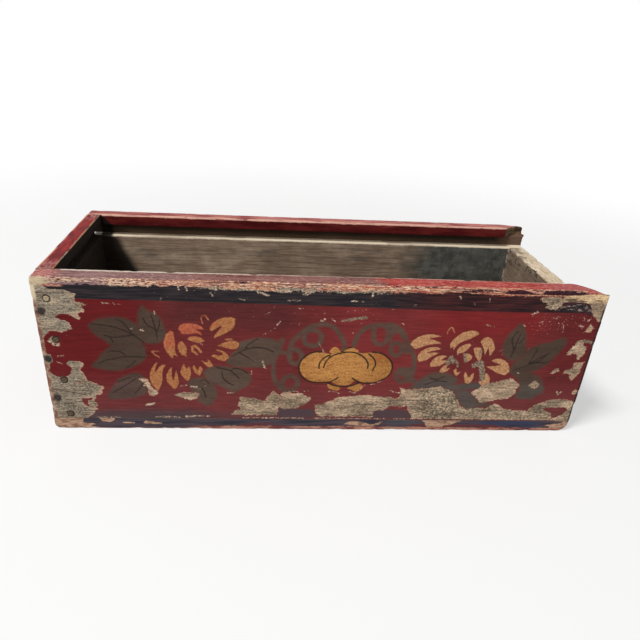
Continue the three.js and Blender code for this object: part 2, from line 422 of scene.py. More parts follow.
def closed_end_finish():
    """Red on top and outside; its outer arris is worn pinkish, its inner one pale; its bare inner face is
    painted in deep shade.
    """
    material, place = new_finish("closed_end_paint")
    x, y, z = place.parts()
    painted = marked(place, "paint").ramp(0.4, 0.6)
    wood, fibre_height = old_wood(place, ALONG_Y, GREY_WOOD)
    inside, _ = old_wood(place, ALONG_Y, INNER_WOOD)
    # Painted shade: the whole bare inner face is laid over almost black.
    inside = inside.covered(CORNER_SHADE, 0.94)
    field = flaking(place, ALONG_Y, 1.2, 0.13)
    on_top = z.ramp(TOP - 1.6, TOP - 0.4)
    rubbed = place.stretched(1, 0.2, 1).noise(3.5, 5.0)
    faded = rubbed.ramp(0.38, 0.6).between(srgb(98, 14, 16), srgb(140, 32, 30))
    ends = y.ramp(-40, -62).most(y.ramp(50, 64))
    outer_strip = x.ramp(low[0] + 3.4, low[0] + 2.2)
    pink = (outer_strip * 0.8).most(ends * rubbed.ramp(0.46, 0.56) * 0.8)
    bloom = place.noise(3).ramp(0.42, 0.58).between(srgb(122, 84, 88), srgb(172, 112, 102))
    faded = faded.covered(bloom, pink * rubbed.ramp(0.36, 0.5))
    outer_line = x.ramp(low[0] + 2.6, low[0] + 1.8) * rubbed.ramp(0.4, 0.48)
    faded = faded.covered(srgb(206, 138, 96), outer_line * 0.9)
    outside = coat(place, wood, red_paint(place, ALONG_Y).covered(faded, on_top), field)
    inner_strip = x.ramp(high[0] - 1.5, high[0] - 0.7) * on_top
    outside = outside.covered(srgb(186, 134, 104), inner_strip * rubbed.ramp(0.4, 0.55))
    kept = field.ramp(-0.2, 0.2) * painted
    height = kept * 0.15 + fibre_height * (1 - kept)
    close_finish(inside.covered(outside, painted), 0.8 - kept * 0.25, height)
    return material


dress(left_end, closed_end_finish(), "left_end_board")


# The open end
# The short board at the other end, cut down level with the groove floors so that the lid
# slides over it. Its top is rubbed bare and pale, and worn hollow off the middle.

low, high = box_mm("right_end_board")
LEDGE_WEAR = 1.8
LEDGE_INNER_WEAR = 1.1
HOLLOW_MIDDLE = 12
HOLLOW_LENGTH = 30
HOLLOW_DEPTH = 1.4
HOLLOW_REACH = 3.6
RUBBED_WOOD = [srgb(184, 160, 132), srgb(222, 204, 176), srgb(236, 220, 196)]

rows = stations(low[1], high[1], END_BOARD_SPACING)
section = np.array([
    (low[0], FOOT), (high[0], FOOT), (high[0], high[2]), (low[0], high[2]),
])
right_end, right_edge = board(
    "open_end", False, rows, np.repeat(section[None], len(rows), 0),
    roundings=[ARRIS, ARRIS, LEDGE_WEAR, LEDGE_INNER_WEAR],
    spacings=[4, 1.8, 1, 2],
    painted=[0, 1, 0, 0],
    exposed=[False, False, True, True],
)
spots = places_of(right_end)
off_middle = (spots[:, 1] - HOLLOW_MIDDLE) / (HOLLOW_LENGTH / 2)
from_hollow = np.hypot((spots[:, 0] - low[0]) / HOLLOW_REACH, off_middle)
near_top = rise(spots[:, 2], high[2] - 4, high[2] - 0.5)
press_in(right_end, HOLLOW_DEPTH * rise(from_hollow, 1, 0.2) * near_top)
handle_wear(right_end, right_edge, seed=23)


def open_end_finish():
    """Bare pale top, brown inside, red outside with much of it gone."""
    material, place = new_finish("open_end_wood")
    x, y, z = place.parts()
    painted = marked(place, "paint").ramp(0.4, 0.6)
    wood, fibre_height = old_wood(place, ALONG_Y, GREY_WOOD)
    inside, _ = old_wood(place, ALONG_Y, INNER_WOOD)
    mottled = place.noise(6, 5.0, 0.65)
    inside = shaded(inside, 0.48 + mottled * 0.9)
    mould = mottled.ramp(0.5, 0.6) * z.ramp(high[2] - 26, high[2] - 4)
    inside = inside.covered(srgb(50, 48, 44), mould * 0.8)
    rubbed, _ = old_wood(place, (1, 0.12, 1), RUBBED_WOOD)
    specks = place.noise(1.1, 3.0).ramp(0.6, 0.68)
    rubbed = rubbed.covered(srgb(140, 108, 78), specks * 0.7)
    stained = y.ramp(24, 46) * place.noise(9, 4.0).ramp(0.42, 0.52)
    stained = stained * x.ramp(high[0] - 4, high[0] - 8)
    rubbed = rubbed.covered(srgb(138, 122, 106), stained * 0.85)
    field = flaking(place, ALONG_Y, 1.5, 0.14)
    outside = coat(place, wood, red_paint(place, ALONG_Y), field)
    on_top = (z + place.noise(2.5) * 1.6).ramp(high[2] - 1.4, high[2] - 0.7)
    colour = inside.covered(outside, painted).covered(rubbed, on_top)
    kept = field.ramp(-0.2, 0.2) * painted * (1 - on_top)
    close_finish(colour, 0.85 - kept * 0.25, kept * 0.15 + fibre_height * (1 - kept))
    return material


dress(right_end, open_end_finish(), "right_end_board")


# The back board
# A long board the whole length of the box, with the lid's groove plowed along its inner
# face under a lip. The lip is sawn off on a slant at the open end. Red outside, on top
# and on the lip; bare in the groove and below it.

SIDE_GROOVE_DEPTH = 6.5
LIP_OUTER_WEAR = 3.4
MOUTH_INNER_RUN = 22.5
BACK_MOUTH_OUTER_RUN = 4.4
OPEN_CORNER_RUN = 26
OPEN_CORNER_DROP = 2.3
FRONT_TOP_DROP = 0.9
FRONT_DROP_START = 40
FRONT_DROP_END = 200
CLOSED_CORNER_DROP = 1.3
LEAST_LIP = 1.2
FRONT_MOUTH_BEND = 1.35
END_RADIUS = 1.2


def long_board(name, node_name, side, mouth_outer_run, outer_spacing, inner_spacing, seed):
    """A long board for one side: -1 is the decorated front, 1 the back."""
    low, high = box_mm(node_name)
    outer_face = high[1] if side > 0 else low[1]
    inner_face = low[1] if side > 0 else high[1]
    mouth_start = high[0] - MOUTH_INNER_RUN
    mouth_end = high[0] - mouth_outer_run
    places = stations(low[0], high[0], outer_spacing, [mouth_start, mouth_end])
    drawn_in = end_rounding(places, END_RADIUS)[:, None]
    lowered = CLOSED_CORNER_DROP * rise(places, low[0] + 3, low[0]) ** 2
    slope = np.clip((places - high[0] + OPEN_CORNER_RUN) / OPEN_CORNER_RUN, 0, 1)
    lowered = lowered + OPEN_CORNER_DROP * slope**1.5
    if side < 0:
        lowered = lowered + FRONT_TOP_DROP * rise(places, FRONT_DROP_START, FRONT_DROP_END)
    top = high[2] - lowered
    open_share = np.clip((places - mouth_start) / (mouth_end - mouth_start), 0, 1)
    lip_thickness = (high[1] - low[1]) * (1 - open_share ** (FRONT_MOUTH_BEND if side < 0 else 1))
    lip_inner = outer_face - side * np.maximum(lip_thickness, LEAST_LIP + 2 * drawn_in[:, 0])
    wall = inner_face + side * SIDE_GROOVE_DEPTH
    same = np.ones(len(places))
    across = [outer_face * same, inner_face * same, inner_face * same, wall * same, wall * same,
              lip_inner, lip_inner, outer_face * same]
    up = [FOOT * same, FOOT * same, GROOVE_FLOOR * same, GROOVE_FLOOR * same,
          GROOVE_TOP * same, GROOVE_TOP * same, top, top]
    inwards = -side * np.array([1, -1, -1, -1, -1, -1, -1, 1])
    upwards = np.array([1, 1, -1, -1, 1, 1, -1, -1])
    corners = np.stack([np.stack(across, 1) + drawn_in * inwards,
                        np.stack(up, 1) + drawn_in * upwards], 2)
    piece, edge = board(
        name, True, places, corners,
        roundings=[JOINT_ARRIS, ARRIS, 1.0, 0.3, 0.3, 0.4, LIP_INNER_WEAR, LIP_OUTER_WEAR],
        spacings=[3.5, inner_spacing, 2.2, 1.6, 2.2, 1.4, 0.9, outer_spacing],
        painted=[0, 0, 0, 0, 0, 1, 1, 1],
        exposed=[False, False, True, False, False, False, True, True],
    )
    handle_wear(piece, edge, seed)
    return piece


def ends_of(node_name, axis):
    """Middle of a fastening's head and of its tip, in mm. axis is the way it is driven."""
    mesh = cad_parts[node_name].data
    flat = np.empty(len(mesh.vertices) * 3)
    mesh.vertices.foreach_get("co", flat)
    points = flat.reshape(-1, 3) / MM
    depth = np.abs(points[:, axis]) if axis == 1 else -points[:, axis]
    head = points[depth > depth.max() - 1].mean(0)
    tip = points[depth < depth.min() + 0.5].mean(0)
    return head, tip


fastenings = [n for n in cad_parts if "_nail_" in n or "_peg_" in n]
corner_fastenings = [n for n in fastenings if not n.startswith("bottom")]
bottom_nails = [n for n in fastenings if n.startswith("bottom")]
covered_over = [n for n in corner_fastenings if "_right_" in n]


OUT_OF_REACH = 50.0
HEAD_LEVEL = 4
SHOWN_SINK = 0.75
COVERED_SINK = 0.25
SHOWN_REACH = (4, 2.7)
COVERED_REACH = (3.4, 2)


def seat_fastenings(piece, names, axis):
    """Sinks the wood round each head and marks how far each point is from one."""
    points = places_of(piece)
    others = [i for i in range(3) if i != axis]
    to_nail = np.full(len(points), OUT_OF_REACH)
    to_peg = to_nail.copy()
    depth = np.zeros(len(points))
    for name in names:
        head, _ = ends_of(name, axis)
        apart = np.linalg.norm(points[:, others] - head[others], axis=1)
        apart += np.where(np.abs(points[:, axis] - head[axis]) < HEAD_LEVEL, 0, OUT_OF_REACH)
        if name in covered_over:
            depth += COVERED_SINK * rise(apart, *COVERED_REACH)
            continue
        depth += SHOWN_SINK * rise(apart, *SHOWN_REACH)
        if "_nail_" in name:
            to_nail = np.minimum(to_nail, apart)
        else:
            to_peg = np.minimum(to_peg, apart)
    press_in(piece, depth)
    mark(piece, "nail", to_nail)
    mark(piece, "peg", to_peg)


def stained_by_heads(place, colour):
    """Rust round the nails and a dark joint round the pegs."""
    rust = marked(place, "nail") + place.noise(2.5, 4.0) * 3
    colour = colour.covered(srgb(52, 42, 40), rust.ramp(6, 3.4) * 0.8)
    joint = marked(place, "peg") + place.noise(1.2) * 0.6
    return colour.covered(srgb(48, 40, 34), joint.ramp(3.6, 3.0) * 0.85)


def end_grain(place, colour):
    """Bare sawn ends over a long board's colour, with some of the red left on them."""
    rings = place.stretched(1, 0.5, 1).noise(2.2, 5.0, 0.65)
    sawn = rings.ramp(0.38, 0.6).between(srgb(104, 88, 70), srgb(158, 138, 112))
    sawn = sawn.covered(srgb(110, 38, 38), place.noise(16, 6.0, 0.6).ramp(0.5, 0.53) * 0.9)
    return colour.covered(sawn, marked(place, "end").ramp(0.5, 0.9))


back_low, _ = box_mm("back_board")
back = long_board(
    "back", "back_board", 1, BACK_MOUTH_OUTER_RUN,
    outer_spacing=2, inner_spacing=2.4, seed=37,
)
seat_fastenings(back, [n for n in corner_fastenings if n.startswith("back")], 1)


def back_inside(place, x, z):
    """Bare inside: brown, mouldy near the open end, with painted shade in its groove and a painted shadow
    and patch of light at the far corner.
    """
    inside, _ = old_wood(place, ALONG_X, INNER_WOOD)
    soot = place.stretched(0.35, 1, 1).noise(20, 4.0)
    mottled = place.stretched(0.6, 1, 0.8).noise(7, 5.0, 0.65)
    inside = shaded(inside, 0.6 + mottled * 0.9 + x.ramp(-10, -90) * 0.2)
    hanging = place.stretched(1, 1, 0.25).noise(4, 4.0) * 0.25 + mottled * 0.75
    moulded = hanging.ramp(0.38, 0.62).between(srgb(60, 66, 64), srgb(98, 102, 97))
    inside = inside.covered(moulded, (x + soot * 60).ramp(105, 150) * 0.9)
    inside = inside.covered(srgb(84, 82, 78), soot.ramp(0.56, 0.7) * 0.6)
    # Painted shadow: the closed end's slanting shadow across the inner face near the far corner.
    corner = (x + z * 0.5 + soot * 6).ramp(-122, -132) * z.ramp(GROOVE_FLOOR + 3, GROOVE_FLOOR + 1)
    inside = inside.covered(CORNER_SHADE, corner * 0.94)
    groove = z.ramp(GROOVE_FLOOR + 0.4, GROOVE_FLOOR + 1)
    inside = inside.covered(srgb(88, 68, 54), groove * 0.8)
    # Painted shade: the groove wall darkened under the lip and all along near the closed end.
    groove_shade = z.ramp(GROOVE_FLOOR + 2, GROOVE_FLOOR + 6).most(x.ramp(-165, -185))
    inside = inside.covered(CORNER_SHADE, groove * groove_shade * x.ramp(186, 180) * 0.6)
    inside = inside.covered(srgb(112, 86, 72), groove * x.ramp(184, 190) * 0.7)
    worn_step = (z - GROOVE_FLOOR + 1.2 + place.noise(3, 4.0) * 1.5).ramp(0.3, 0.9) * (1 - groove)
    step_wear_and_light = soot.ramp(0.4, 0.5).between(srgb(190, 172, 150), srgb(228, 210, 184))
    # Painted light: a near-white patch on the groove floor at the closed end, where light falls in through
    # the groove.
    step_wear_and_light = step_wear_and_light.covered(srgb(250, 246, 236), x.ramp(-196.5, -198))
    inside = inside.covered(step_wear_and_light, worn_step)
    joint_line = x.ramp(193.6, 194.4) * x.ramp(196, 195.2) * (1 - worn_step) * (1 - groove)
    joint_line = joint_line * place.noise(5, 4.0).ramp(0.42, 0.5)
    inside = inside.covered(srgb(206, 196, 180), joint_line * 0.8)
    # Painted shade on the groove floor and wall just past that patch of light.
    shaded_step = x.ramp(-199.5, -198) * x.ramp(-186, -190)
    shaded_step = shaded_step * z.ramp(GROOVE_FLOOR - 3, GROOVE_FLOOR - 1)
    return inside.covered(CORNER_SHADE, shaded_step * 0.9)


def back_outside(place, x, y, z, field):
    """Worn red, faded on top, dark on the lip, with the lip's slant sawn bare and a painted shadow of the
    closed end across the lip's far end.
    """
    on_lip = y.ramp(back_low[1] + 1.1, back_low[1] + 0.4)
    brushed = place.stretched(0.2, 1, 1).noise(6, 4.0).ramp(0.4, 0.6)
    lip_red = brushed.between(srgb(78, 18, 20), srgb(104, 34, 32))
    red = red_paint(place, ALONG_X).covered(lip_red, on_lip)
    rubbed = place.stretched(0.12, 1, 1).noise(3, 5.0)
    faded = (rubbed + x.ramp(-60, -120) * -0.08).ramp(0.38, 0.58)
    on_top = z.ramp(TOP - 2.4, TOP - 1.2) * (1 - on_lip)
    red = red.covered(faded.between(srgb(132, 52, 52), srgb(186, 116, 106)), on_top)
    arris = y.ramp(back_low[1] + 4.5, back_low[1] + 3) * z.ramp(TOP - 1.5, TOP - 0.8)
    red = red.covered(srgb(214, 162, 146), arris * rubbed.ramp(0.4, 0.52))
    wood, fibre_height = old_wood(place, ALONG_X, GREY_WOOD)
    inner_edge = z.ramp(TOP - 3, TOP - 2) * y.ramp(back_low[1] + 6, back_low[1] + 4)
    wood = wood.covered(srgb(216, 168, 148), inner_edge)
    outside = coat(place, wood, red, field)
    sawn = x.ramp(188.2, 188.8) * y.ramp(back_low[1] + 0.5, back_low[1] + 1) * z.ramp(117, 117.4)
    slant = sawn * (y - back_low[1] - (x - 187.5) * 0.91).ramp(1.2, 0.6)
    sawn_wood = rubbed.ramp(0.4, 0.6).between(srgb(60, 46, 34), srgb(128, 104, 74))
    outside = outside.covered(sawn_wood, slant)
    # Painted shadow: the closed end's shadow across the far end of the lip's inner face.
    closed_end_shadow = on_lip * ((x + 197) - (TOP - z)).ramp(1.5, -0.5)
    return outside.covered(CORNER_SHADE, closed_end_shadow * 0.95), fibre_height


def back_board_finish():
    """Dark red lip, brown groove, stained brown-grey inside, worn red outside."""
    material, place = new_finish("back_board_paint")
    x, y, z = place.parts()
    painted = marked(place, "paint").ramp(0.4, 0.6)
    field = flaking(place, ALONG_X, 1.3, 0.12)
    outside, fibre_height = back_outside(place, x, y, z, field)
    colour = back_inside(place, x, z).covered(outside, painted)
    colour = end_grain(place, stained_by_heads(place, colour))
    kept = field.ramp(-0.2, 0.2) * painted
    close_finish(colour, 0.8 - kept * 0.25, kept * 0.15 + fibre_height * (1 - kept))
    return material


dress(back, back_board_finish(), "back_board")


# The front board
# The same long board for the front. It carries the decoration, brushed over the red in
# olive, gold and orange between two dark bands; the paint has flaked off in patches.
# Places on its face are (mm from the closed end, mm up from the underside).

FRONT_MOUTH_OUTER_RUN = 1.4
FAR = 9.0
CURVE_STEPS = 4
PAINT_THICKNESS = 0.22

BARE_PATCHES = [
    [(-2, 121), (10, 119.5), (13, 117.3), (24, 117), (26.5, 115.5), (31.5, 114.2), (29.5, 112.5),
     (29.5, 108.3), (33, 107.8), (38.5, 106), (33.5, 105.2), (34.5, 103), (35.5, 102), (34.5, 100),
     (31.5, 100), (29.8, 98.5), (32, 95.5), (30.5, 94), (28, 95.5), (25.5, 97), (24, 98.2),
     (20, 98.8), (16.5, 98.3), (14.8, 96.5), (15.5, 94.8), (18, 93.8), (21, 93.2), (23, 92),
     (24, 90.3), (24, 88.5), (25.3, 87), (22, 86.2), (20, 85.3), (17, 84), (12, 84.8), (8, 84.8),
     (7.5, 83.5), (5.5, 82), (3.5, 79), (3.2, 72), (3, 66.5), (6.5, 65.8), (7.2, 60), (5, 58.8),
     (4.5, 54.5), (3, 52.5), (4, 50.5), (6, 48.5), (8, 47), (12, 46.8), (16, 47.3), (18.5, 50),
     (20, 53), (19.5, 55.5), (17, 57.5), (17, 59.5), (19, 60.3), (24, 60.8), (29, 59.5),
     (28.7, 56.5), (27, 54.8), (26, 53.2), (27.5, 51.5), (28.2, 49), (29.5, 46.2), (30, 44),
     (33, 42.8), (36, 41.5), (39, 39.5), (42, 38.8), (41.5, 37), (40, 36), (40, 33), (38.5, 31.5),
     (35.5, 31.2), (34.8, 30), (35, 28.3), (33.5, 27.3), (33, 26), (35.8, 22.5), (33.5, 19.8),
     (35.2, 18.3), (32.8, 17.5), (32.5, 15.5), (29.5, 12.2), (27.5, 11), (24, 9), (-2, 9)],
    [(68, 45.5), (69.5, 47), (74.5, 46), (76.2, 43), (76.5, 40), (79.5, 36.5), (82.3, 35.5),
     (81.5, 33), (78.2, 30.2), (76, 31.5), (74.3, 34.5), (75.5, 36.5), (73.8, 39.5), (71.5, 40),
     (72.5, 42.5)],
    [(93.5, 31.7), (98.5, 33.5), (101, 35.2), (104.5, 34.3), (111, 34.3), (113.8, 33),
     (111.3, 28.7), (107, 27.6), (102.5, 28.3), (99.5, 30)],
    [(138.3, 14.5), (141, 18), (146.5, 20), (143.5, 22.5), (143.5, 25), (145.5, 27.5),
     (144, 30.3), (147, 31), (150, 30.2), (158, 29), (161.5, 28), (165.5, 27.3), (165.3, 30.5),
     (168, 32.5), (170.5, 36.7), (173, 34.5), (177, 32), (176, 28), (175.3, 22), (174.5, 14),
     (172, 13.7), (150, 13.7)],
    [(177.5, 30), (176, 33.5), (180, 35.8), (184, 35), (189, 34.3), (193.5, 35), (195.5, 33),
     (202, 30), (198, 26.5), (196, 24.3), (192, 22.3), (188.5, 20.3), (178, 20), (175, 23)],
    [(204.8, 18), (204.5, 24.5), (209, 24.5), (214, 27), (219, 28.5), (221, 31), (232, 32.3),
     (243, 33.5), (248, 34), (252, 32.3), (256, 33), (260, 31.5), (263, 33), (268, 30.5),
     (271.5, 32), (273, 36), (271, 41), (275, 39.5), (285, 39.7), (295, 41), (304, 42.3),
     (308, 40), (314, 38.5), (317, 34), (319.5, 30.5), (321.5, 27), (324, 23.5), (328, 21.5),
     (338, 22.8), (345, 22), (348.5, 24.5), (351, 26.5), (354.5, 26.3), (359, 22.5), (367, 20.5),
     (380.5, 20), (385, 25), (389, 27.5), (393, 29), (398, 31), (404, 31.5), (412, 31.2),
     (417, 29.5), (421, 28), (421, 9), (400, 11), (345, 11), (284.5, 11.3), (284, 14.5),
     (282, 17), (280, 20.5), (279, 24), (276, 23), (268, 24), (264, 22.5), (262, 20.5),
     (259, 19.5), (252.5, 18.8), (252.3, 12.7), (207.5, 13)],
    [(329.5, 37), (335, 41), (340, 46), (344, 46.5), (349, 47.5), (358.5, 50.3), (362, 50),
     (365, 47.5), (368.8, 45), (366, 40), (366.3, 36.5), (364, 34), (361.5, 32), (350, 30),
     (345, 28.3), (340, 27), (336, 31)],
    [(376, 43.5), (377, 46), (380, 48.5), (383, 47.5), (385, 45.5), (384, 43), (382, 41),
     (379, 42.5)],
    [(406, 84.5), (408.5, 86), (411, 85), (411, 81), (414, 79.5), (414, 73), (410, 68), (408, 73),
     (405, 74), (402, 72.5), (399, 72.3), (403, 80)],
    [(408, 65.5), (416.5, 66.5), (415, 61.5), (415, 55.5), (412.5, 53.5), (410.5, 48.8),
     (407, 53), (408.5, 55), (405.5, 56), (401, 55.5), (402.5, 58.5), (408, 60.5)],
    [(391, 55.2), (393.5, 55.5), (395, 57), (398, 57.8), (397, 60.3), (393.5, 59.8), (392, 57.5)],
    [(411.6, 100.5), (412.6, 97.5), (415.4, 95.6), (413.6, 94.8), (414, 92.8), (407.6, 92),
     (410.4, 95.6)],
    [(413, 38), (416, 41), (421, 40), (421, 37), (416, 36.5)],
    [(6, 76.5), (9.5, 81), (14.3, 79.8), (13.7, 73.2), (9.5, 75)],
    [(366, 119), (369, 120), (379, 120.8), (385, 119), (384.5, 114), (381, 110.5), (377, 110.2),
     (372, 112.5), (374, 114.5), (370, 116.5)],
    [(384, 117), (392, 116.6), (402, 116.2), (406.6, 115), (408, 112.4), (409, 110), (411, 106.5),
     (414, 104), (417, 101), (421, 101), (421, 124), (400, 123.2), (385, 121.4)],
]
PAINT_LEFT = [
    [(33.5, 28.5), (28, 28.4), (23.8, 27.8), (23.8, 25), (26, 22), (28.4, 20.4), (29.4, 21.5),
     (28, 24), (28.6, 26), (31, 26.7)],
    [(393.5, 21.5), (396, 23.3), (404, 23.3), (412, 24), (415, 21), (412, 17), (408, 14.5),
     (403, 12.4), (402, 17.5)],
    [(23, 42.3), (25.3, 43.6), (25.5, 41.8)],
]
BANDS = [
    [(7, 119), (12, 114), (28, 112), (30, 110.4), (92, 110.4),
     (205, 109.3), (250, 108.5), (300, 107.6), (360, 107.6), (404, 108.3), (411, 106.8),
     (409, 109.8), (407.5, 113.5), (405, 116), (400, 116.8), (392, 117.2), (384, 117.4),
     (384, 123.6), (366, 124), (300, 124), (150, 124), (45, 124), (24, 123), (18, 121)],
    [(175.5, 12), (175.5, 20.2), (204.3, 19.8), (204.5, 12)],
    [(252.5, 12), (252.5, 18.8), (259, 19.5), (266, 20), (276, 20), (280, 18.5), (283.5, 14.5),
     (284, 12)],
]
ARRIS_STREAKS = [
    [(366, 123), (370, 124.6), (380, 125.2), (392, 125), (402, 124.2), (404, 123.2), (398, 122.4),
     (390, 122.2), (385, 121.4), (378, 121.6), (370, 122)],
    [(303, 122.9), (308, 124), (320, 124.6), (336, 124.2), (330, 122.9), (313, 122.3)],
    [(338, 121.4), (341, 124.4), (350, 125), (358, 124.2), (363, 122.2), (352, 121)],
    [(252, 125), (262, 125.6), (270, 125)],
    [(264, 125), (276, 125.5), (292, 125.3), (308, 124.9), (292, 124.8), (276, 124.8)],
    [(137, 124.8), (146, 126), (155, 125)],
    [(384, 116.2), (394, 116.9), (405, 115.8), (407.5, 114.6), (398, 115.2), (386, 115)],
    [(400, 109.4), (406, 109), (410.5, 106.6), (409.5, 106), (404, 107.9), (399, 108.4)],
]
LEAVES = [
    [(36.3, 89.5), (37.5, 91.5), (40.5, 94), (46, 96), (52, 97), (58, 97), (63, 96), (67.5, 93.5),
     (71, 91), (74, 84), (74, 76), (62, 73), (51, 74.5), (48, 77), (44, 79.5), (41, 82), (38, 86)],
    [(51, 74.5), (48.5, 72), (45, 69), (42, 65.5), (39.5, 62), (34.5, 57), (36, 55.5), (40, 54.3),
     (46, 53), (52, 52.5), (58, 53.5), (63, 55.5), (67, 57.5), (71, 59.5), (74, 62.5),
     (75.5, 66), (75.5, 69.5), (74.8, 75), (64, 79), (56, 78)],
    [(71.5, 93), (72, 98), (73.5, 103), (75, 106), (76.5, 106.5), (78.5, 104), (81, 102),
     (84.5, 100.5), (87, 98), (89.5, 93), (91, 87), (91.5, 82), (89, 79), (85, 77), (76, 76),
     (72, 82)],
    [(43.5, 30), (44.5, 33), (47, 37), (50, 41), (53, 45), (57, 48), (62, 50.5), (68, 51.5),
     (74, 45.5), (75, 41), (73, 33), (69, 31), (64, 29.5), (57, 28), (50, 27.5), (45, 28)],
    [(144.8, 78.5), (150, 80.5), (156, 82.3), (162, 82.8), (168, 82), (172, 80.5), (175, 78),
     (175.5, 74.5), (172.5, 67), (170.5, 63.5), (168, 60.5), (165, 58.5), (160, 57.5),
     (146, 57), (141, 57.5), (137, 59.5), (135, 62), (140, 70), (143.5, 73)],
    [(121, 57), (126, 57.8), (133, 58), (145, 56.5), (149, 54.5), (152, 51.5), (153.5, 47.5),
     (152.5, 43.5), (150, 40.5), (147, 38.5), (140.5, 34.8), (134, 38), (126.5, 41.5),
     (122, 44), (118.5, 48), (117.5, 52)],
    [(106, 43.5), (107.5, 46), (111, 47.5), (114, 48), (119, 47), (122, 44.5), (125.5, 40.5),
     (127.3, 36), (127, 31), (124.5, 26), (120, 21.5), (116, 24), (112, 26.5), (113.5, 32),
     (108, 36), (106, 39.5)],
    [(356, 98.3), (359, 97), (362.5, 91.5), (363.8, 87), (365.5, 78), (367, 74), (360, 67),
     (354, 67), (351, 69.5), (346.8, 77), (347, 81), (348, 86), (350.5, 91.5), (354, 95.5)],
    [(393.5, 87.3), (397, 83), (395, 78), (392.5, 73), (389, 67.5), (385, 62.5), (380, 59),
     (375, 56.5), (363, 54), (357, 56), (358, 62), (361, 67), (366, 73), (369, 77.5),
     (373, 80), (384, 83.5)],
    [(357, 57), (372, 57), (384, 51.5), (387, 46), (389, 42), (389.5, 37.5), (385, 35.5),
     (382.5, 32), (378, 31.3), (367, 33), (369, 42), (365, 50)],
    [(280, 40), (283, 45), (287, 49.5), (291, 52.5), (296, 55), (302, 55.8), (308, 54.5),
     (313, 52), (317, 47.5), (309, 42.5), (296, 40)],
    [(319, 39.7), (325, 39.8), (331.5, 35.5), (338.5, 28.5), (346.5, 27.5), (348, 25),
     (340, 23), (328.8, 21.3), (321.5, 28.5), (316.5, 37)],
    [(305, 38), (309, 44), (320, 45), (332, 46.5), (339, 44), (334, 40), (324, 39.5), (312, 38)],
]
VEINS = [
    [(38.5, 91.3), (46, 90.5), (53, 89.5), (60, 87), (67, 83.5), (72, 79.5), (74.5, 77)],
    [(56, 95), (60.5, 93.5), (64, 88.5), (66.5, 85.5)],
    [(46.5, 82.5), (53, 80.8), (60, 81.5), (68, 83.3)],
    [(51, 80), (52.5, 78), (52, 77)],
    [(75.5, 96.5), (78, 91.5), (83, 88.5)],
    [(81.5, 99), (83, 93), (84, 87)],
    [(87.5, 96), (86.5, 90), (84.5, 85), (84.7, 80)],
    [(40, 58.5), (45, 61.5), (52, 63), (60, 64.8), (74, 65)],
    [(47, 68.5), (51, 69.5), (57, 69), (60, 66.5)],
    [(60, 55), (65, 59), (67.5, 62)],
    [(48, 33.5), (55, 38), (62, 43), (66, 46)],
    [(52, 43), (58, 45.5), (62, 47)],
    [(64.5, 33), (68, 37), (71, 42)],
    [(139, 66.5), (145, 70.5), (150, 73), (158, 74.5), (165, 73.5), (170, 71)],
    [(149, 74), (152, 77.5), (158, 81.5)],
    [(144.5, 70), (150, 66.5), (155, 64)],
    [(127, 57), (133, 55.5), (138, 54), (144, 48)],
    [(138, 54), (141, 56.3), (147, 55), (151, 52)],
    [(131.5, 53.5), (132, 48), (136, 43.5), (140, 41.5)],
    [(114, 44), (118, 46), (121, 43)],
    [(115, 39), (117, 36), (118.5, 30)],
    [(356, 92), (353, 86), (354, 81), (356, 76), (355, 70)],
    [(358.5, 89), (357, 82), (357, 77)],
    [(362.5, 87), (359.5, 82)],
    [(359, 57.5), (365, 60), (371, 63), (376, 68), (385, 73.5)],
    [(371, 64), (373, 70), (375, 77)],
    [(374, 64.5), (380, 68), (384, 72.5)],
    [(372, 63.5), (379, 65.5), (385, 65), (389, 68)],
    [(291, 44), (299, 47), (308, 47)],
    [(294, 50), (300, 49), (305, 51.5)],
]
ORNAMENT_MASSES = [
    [(254.5, 95), (255.5, 88), (256.5, 82), (260, 79.5), (259, 84), (260.5, 88), (264, 88.5),
     (266, 85), (268, 83), (270, 85), (267, 91), (262, 95)],
    [(268, 84), (271, 78), (275, 74), (273, 70), (268.5, 73), (267.5, 79)],
    [(268, 58), (279.5, 58.5), (280, 46), (274, 45), (273, 50), (268, 53)],
]
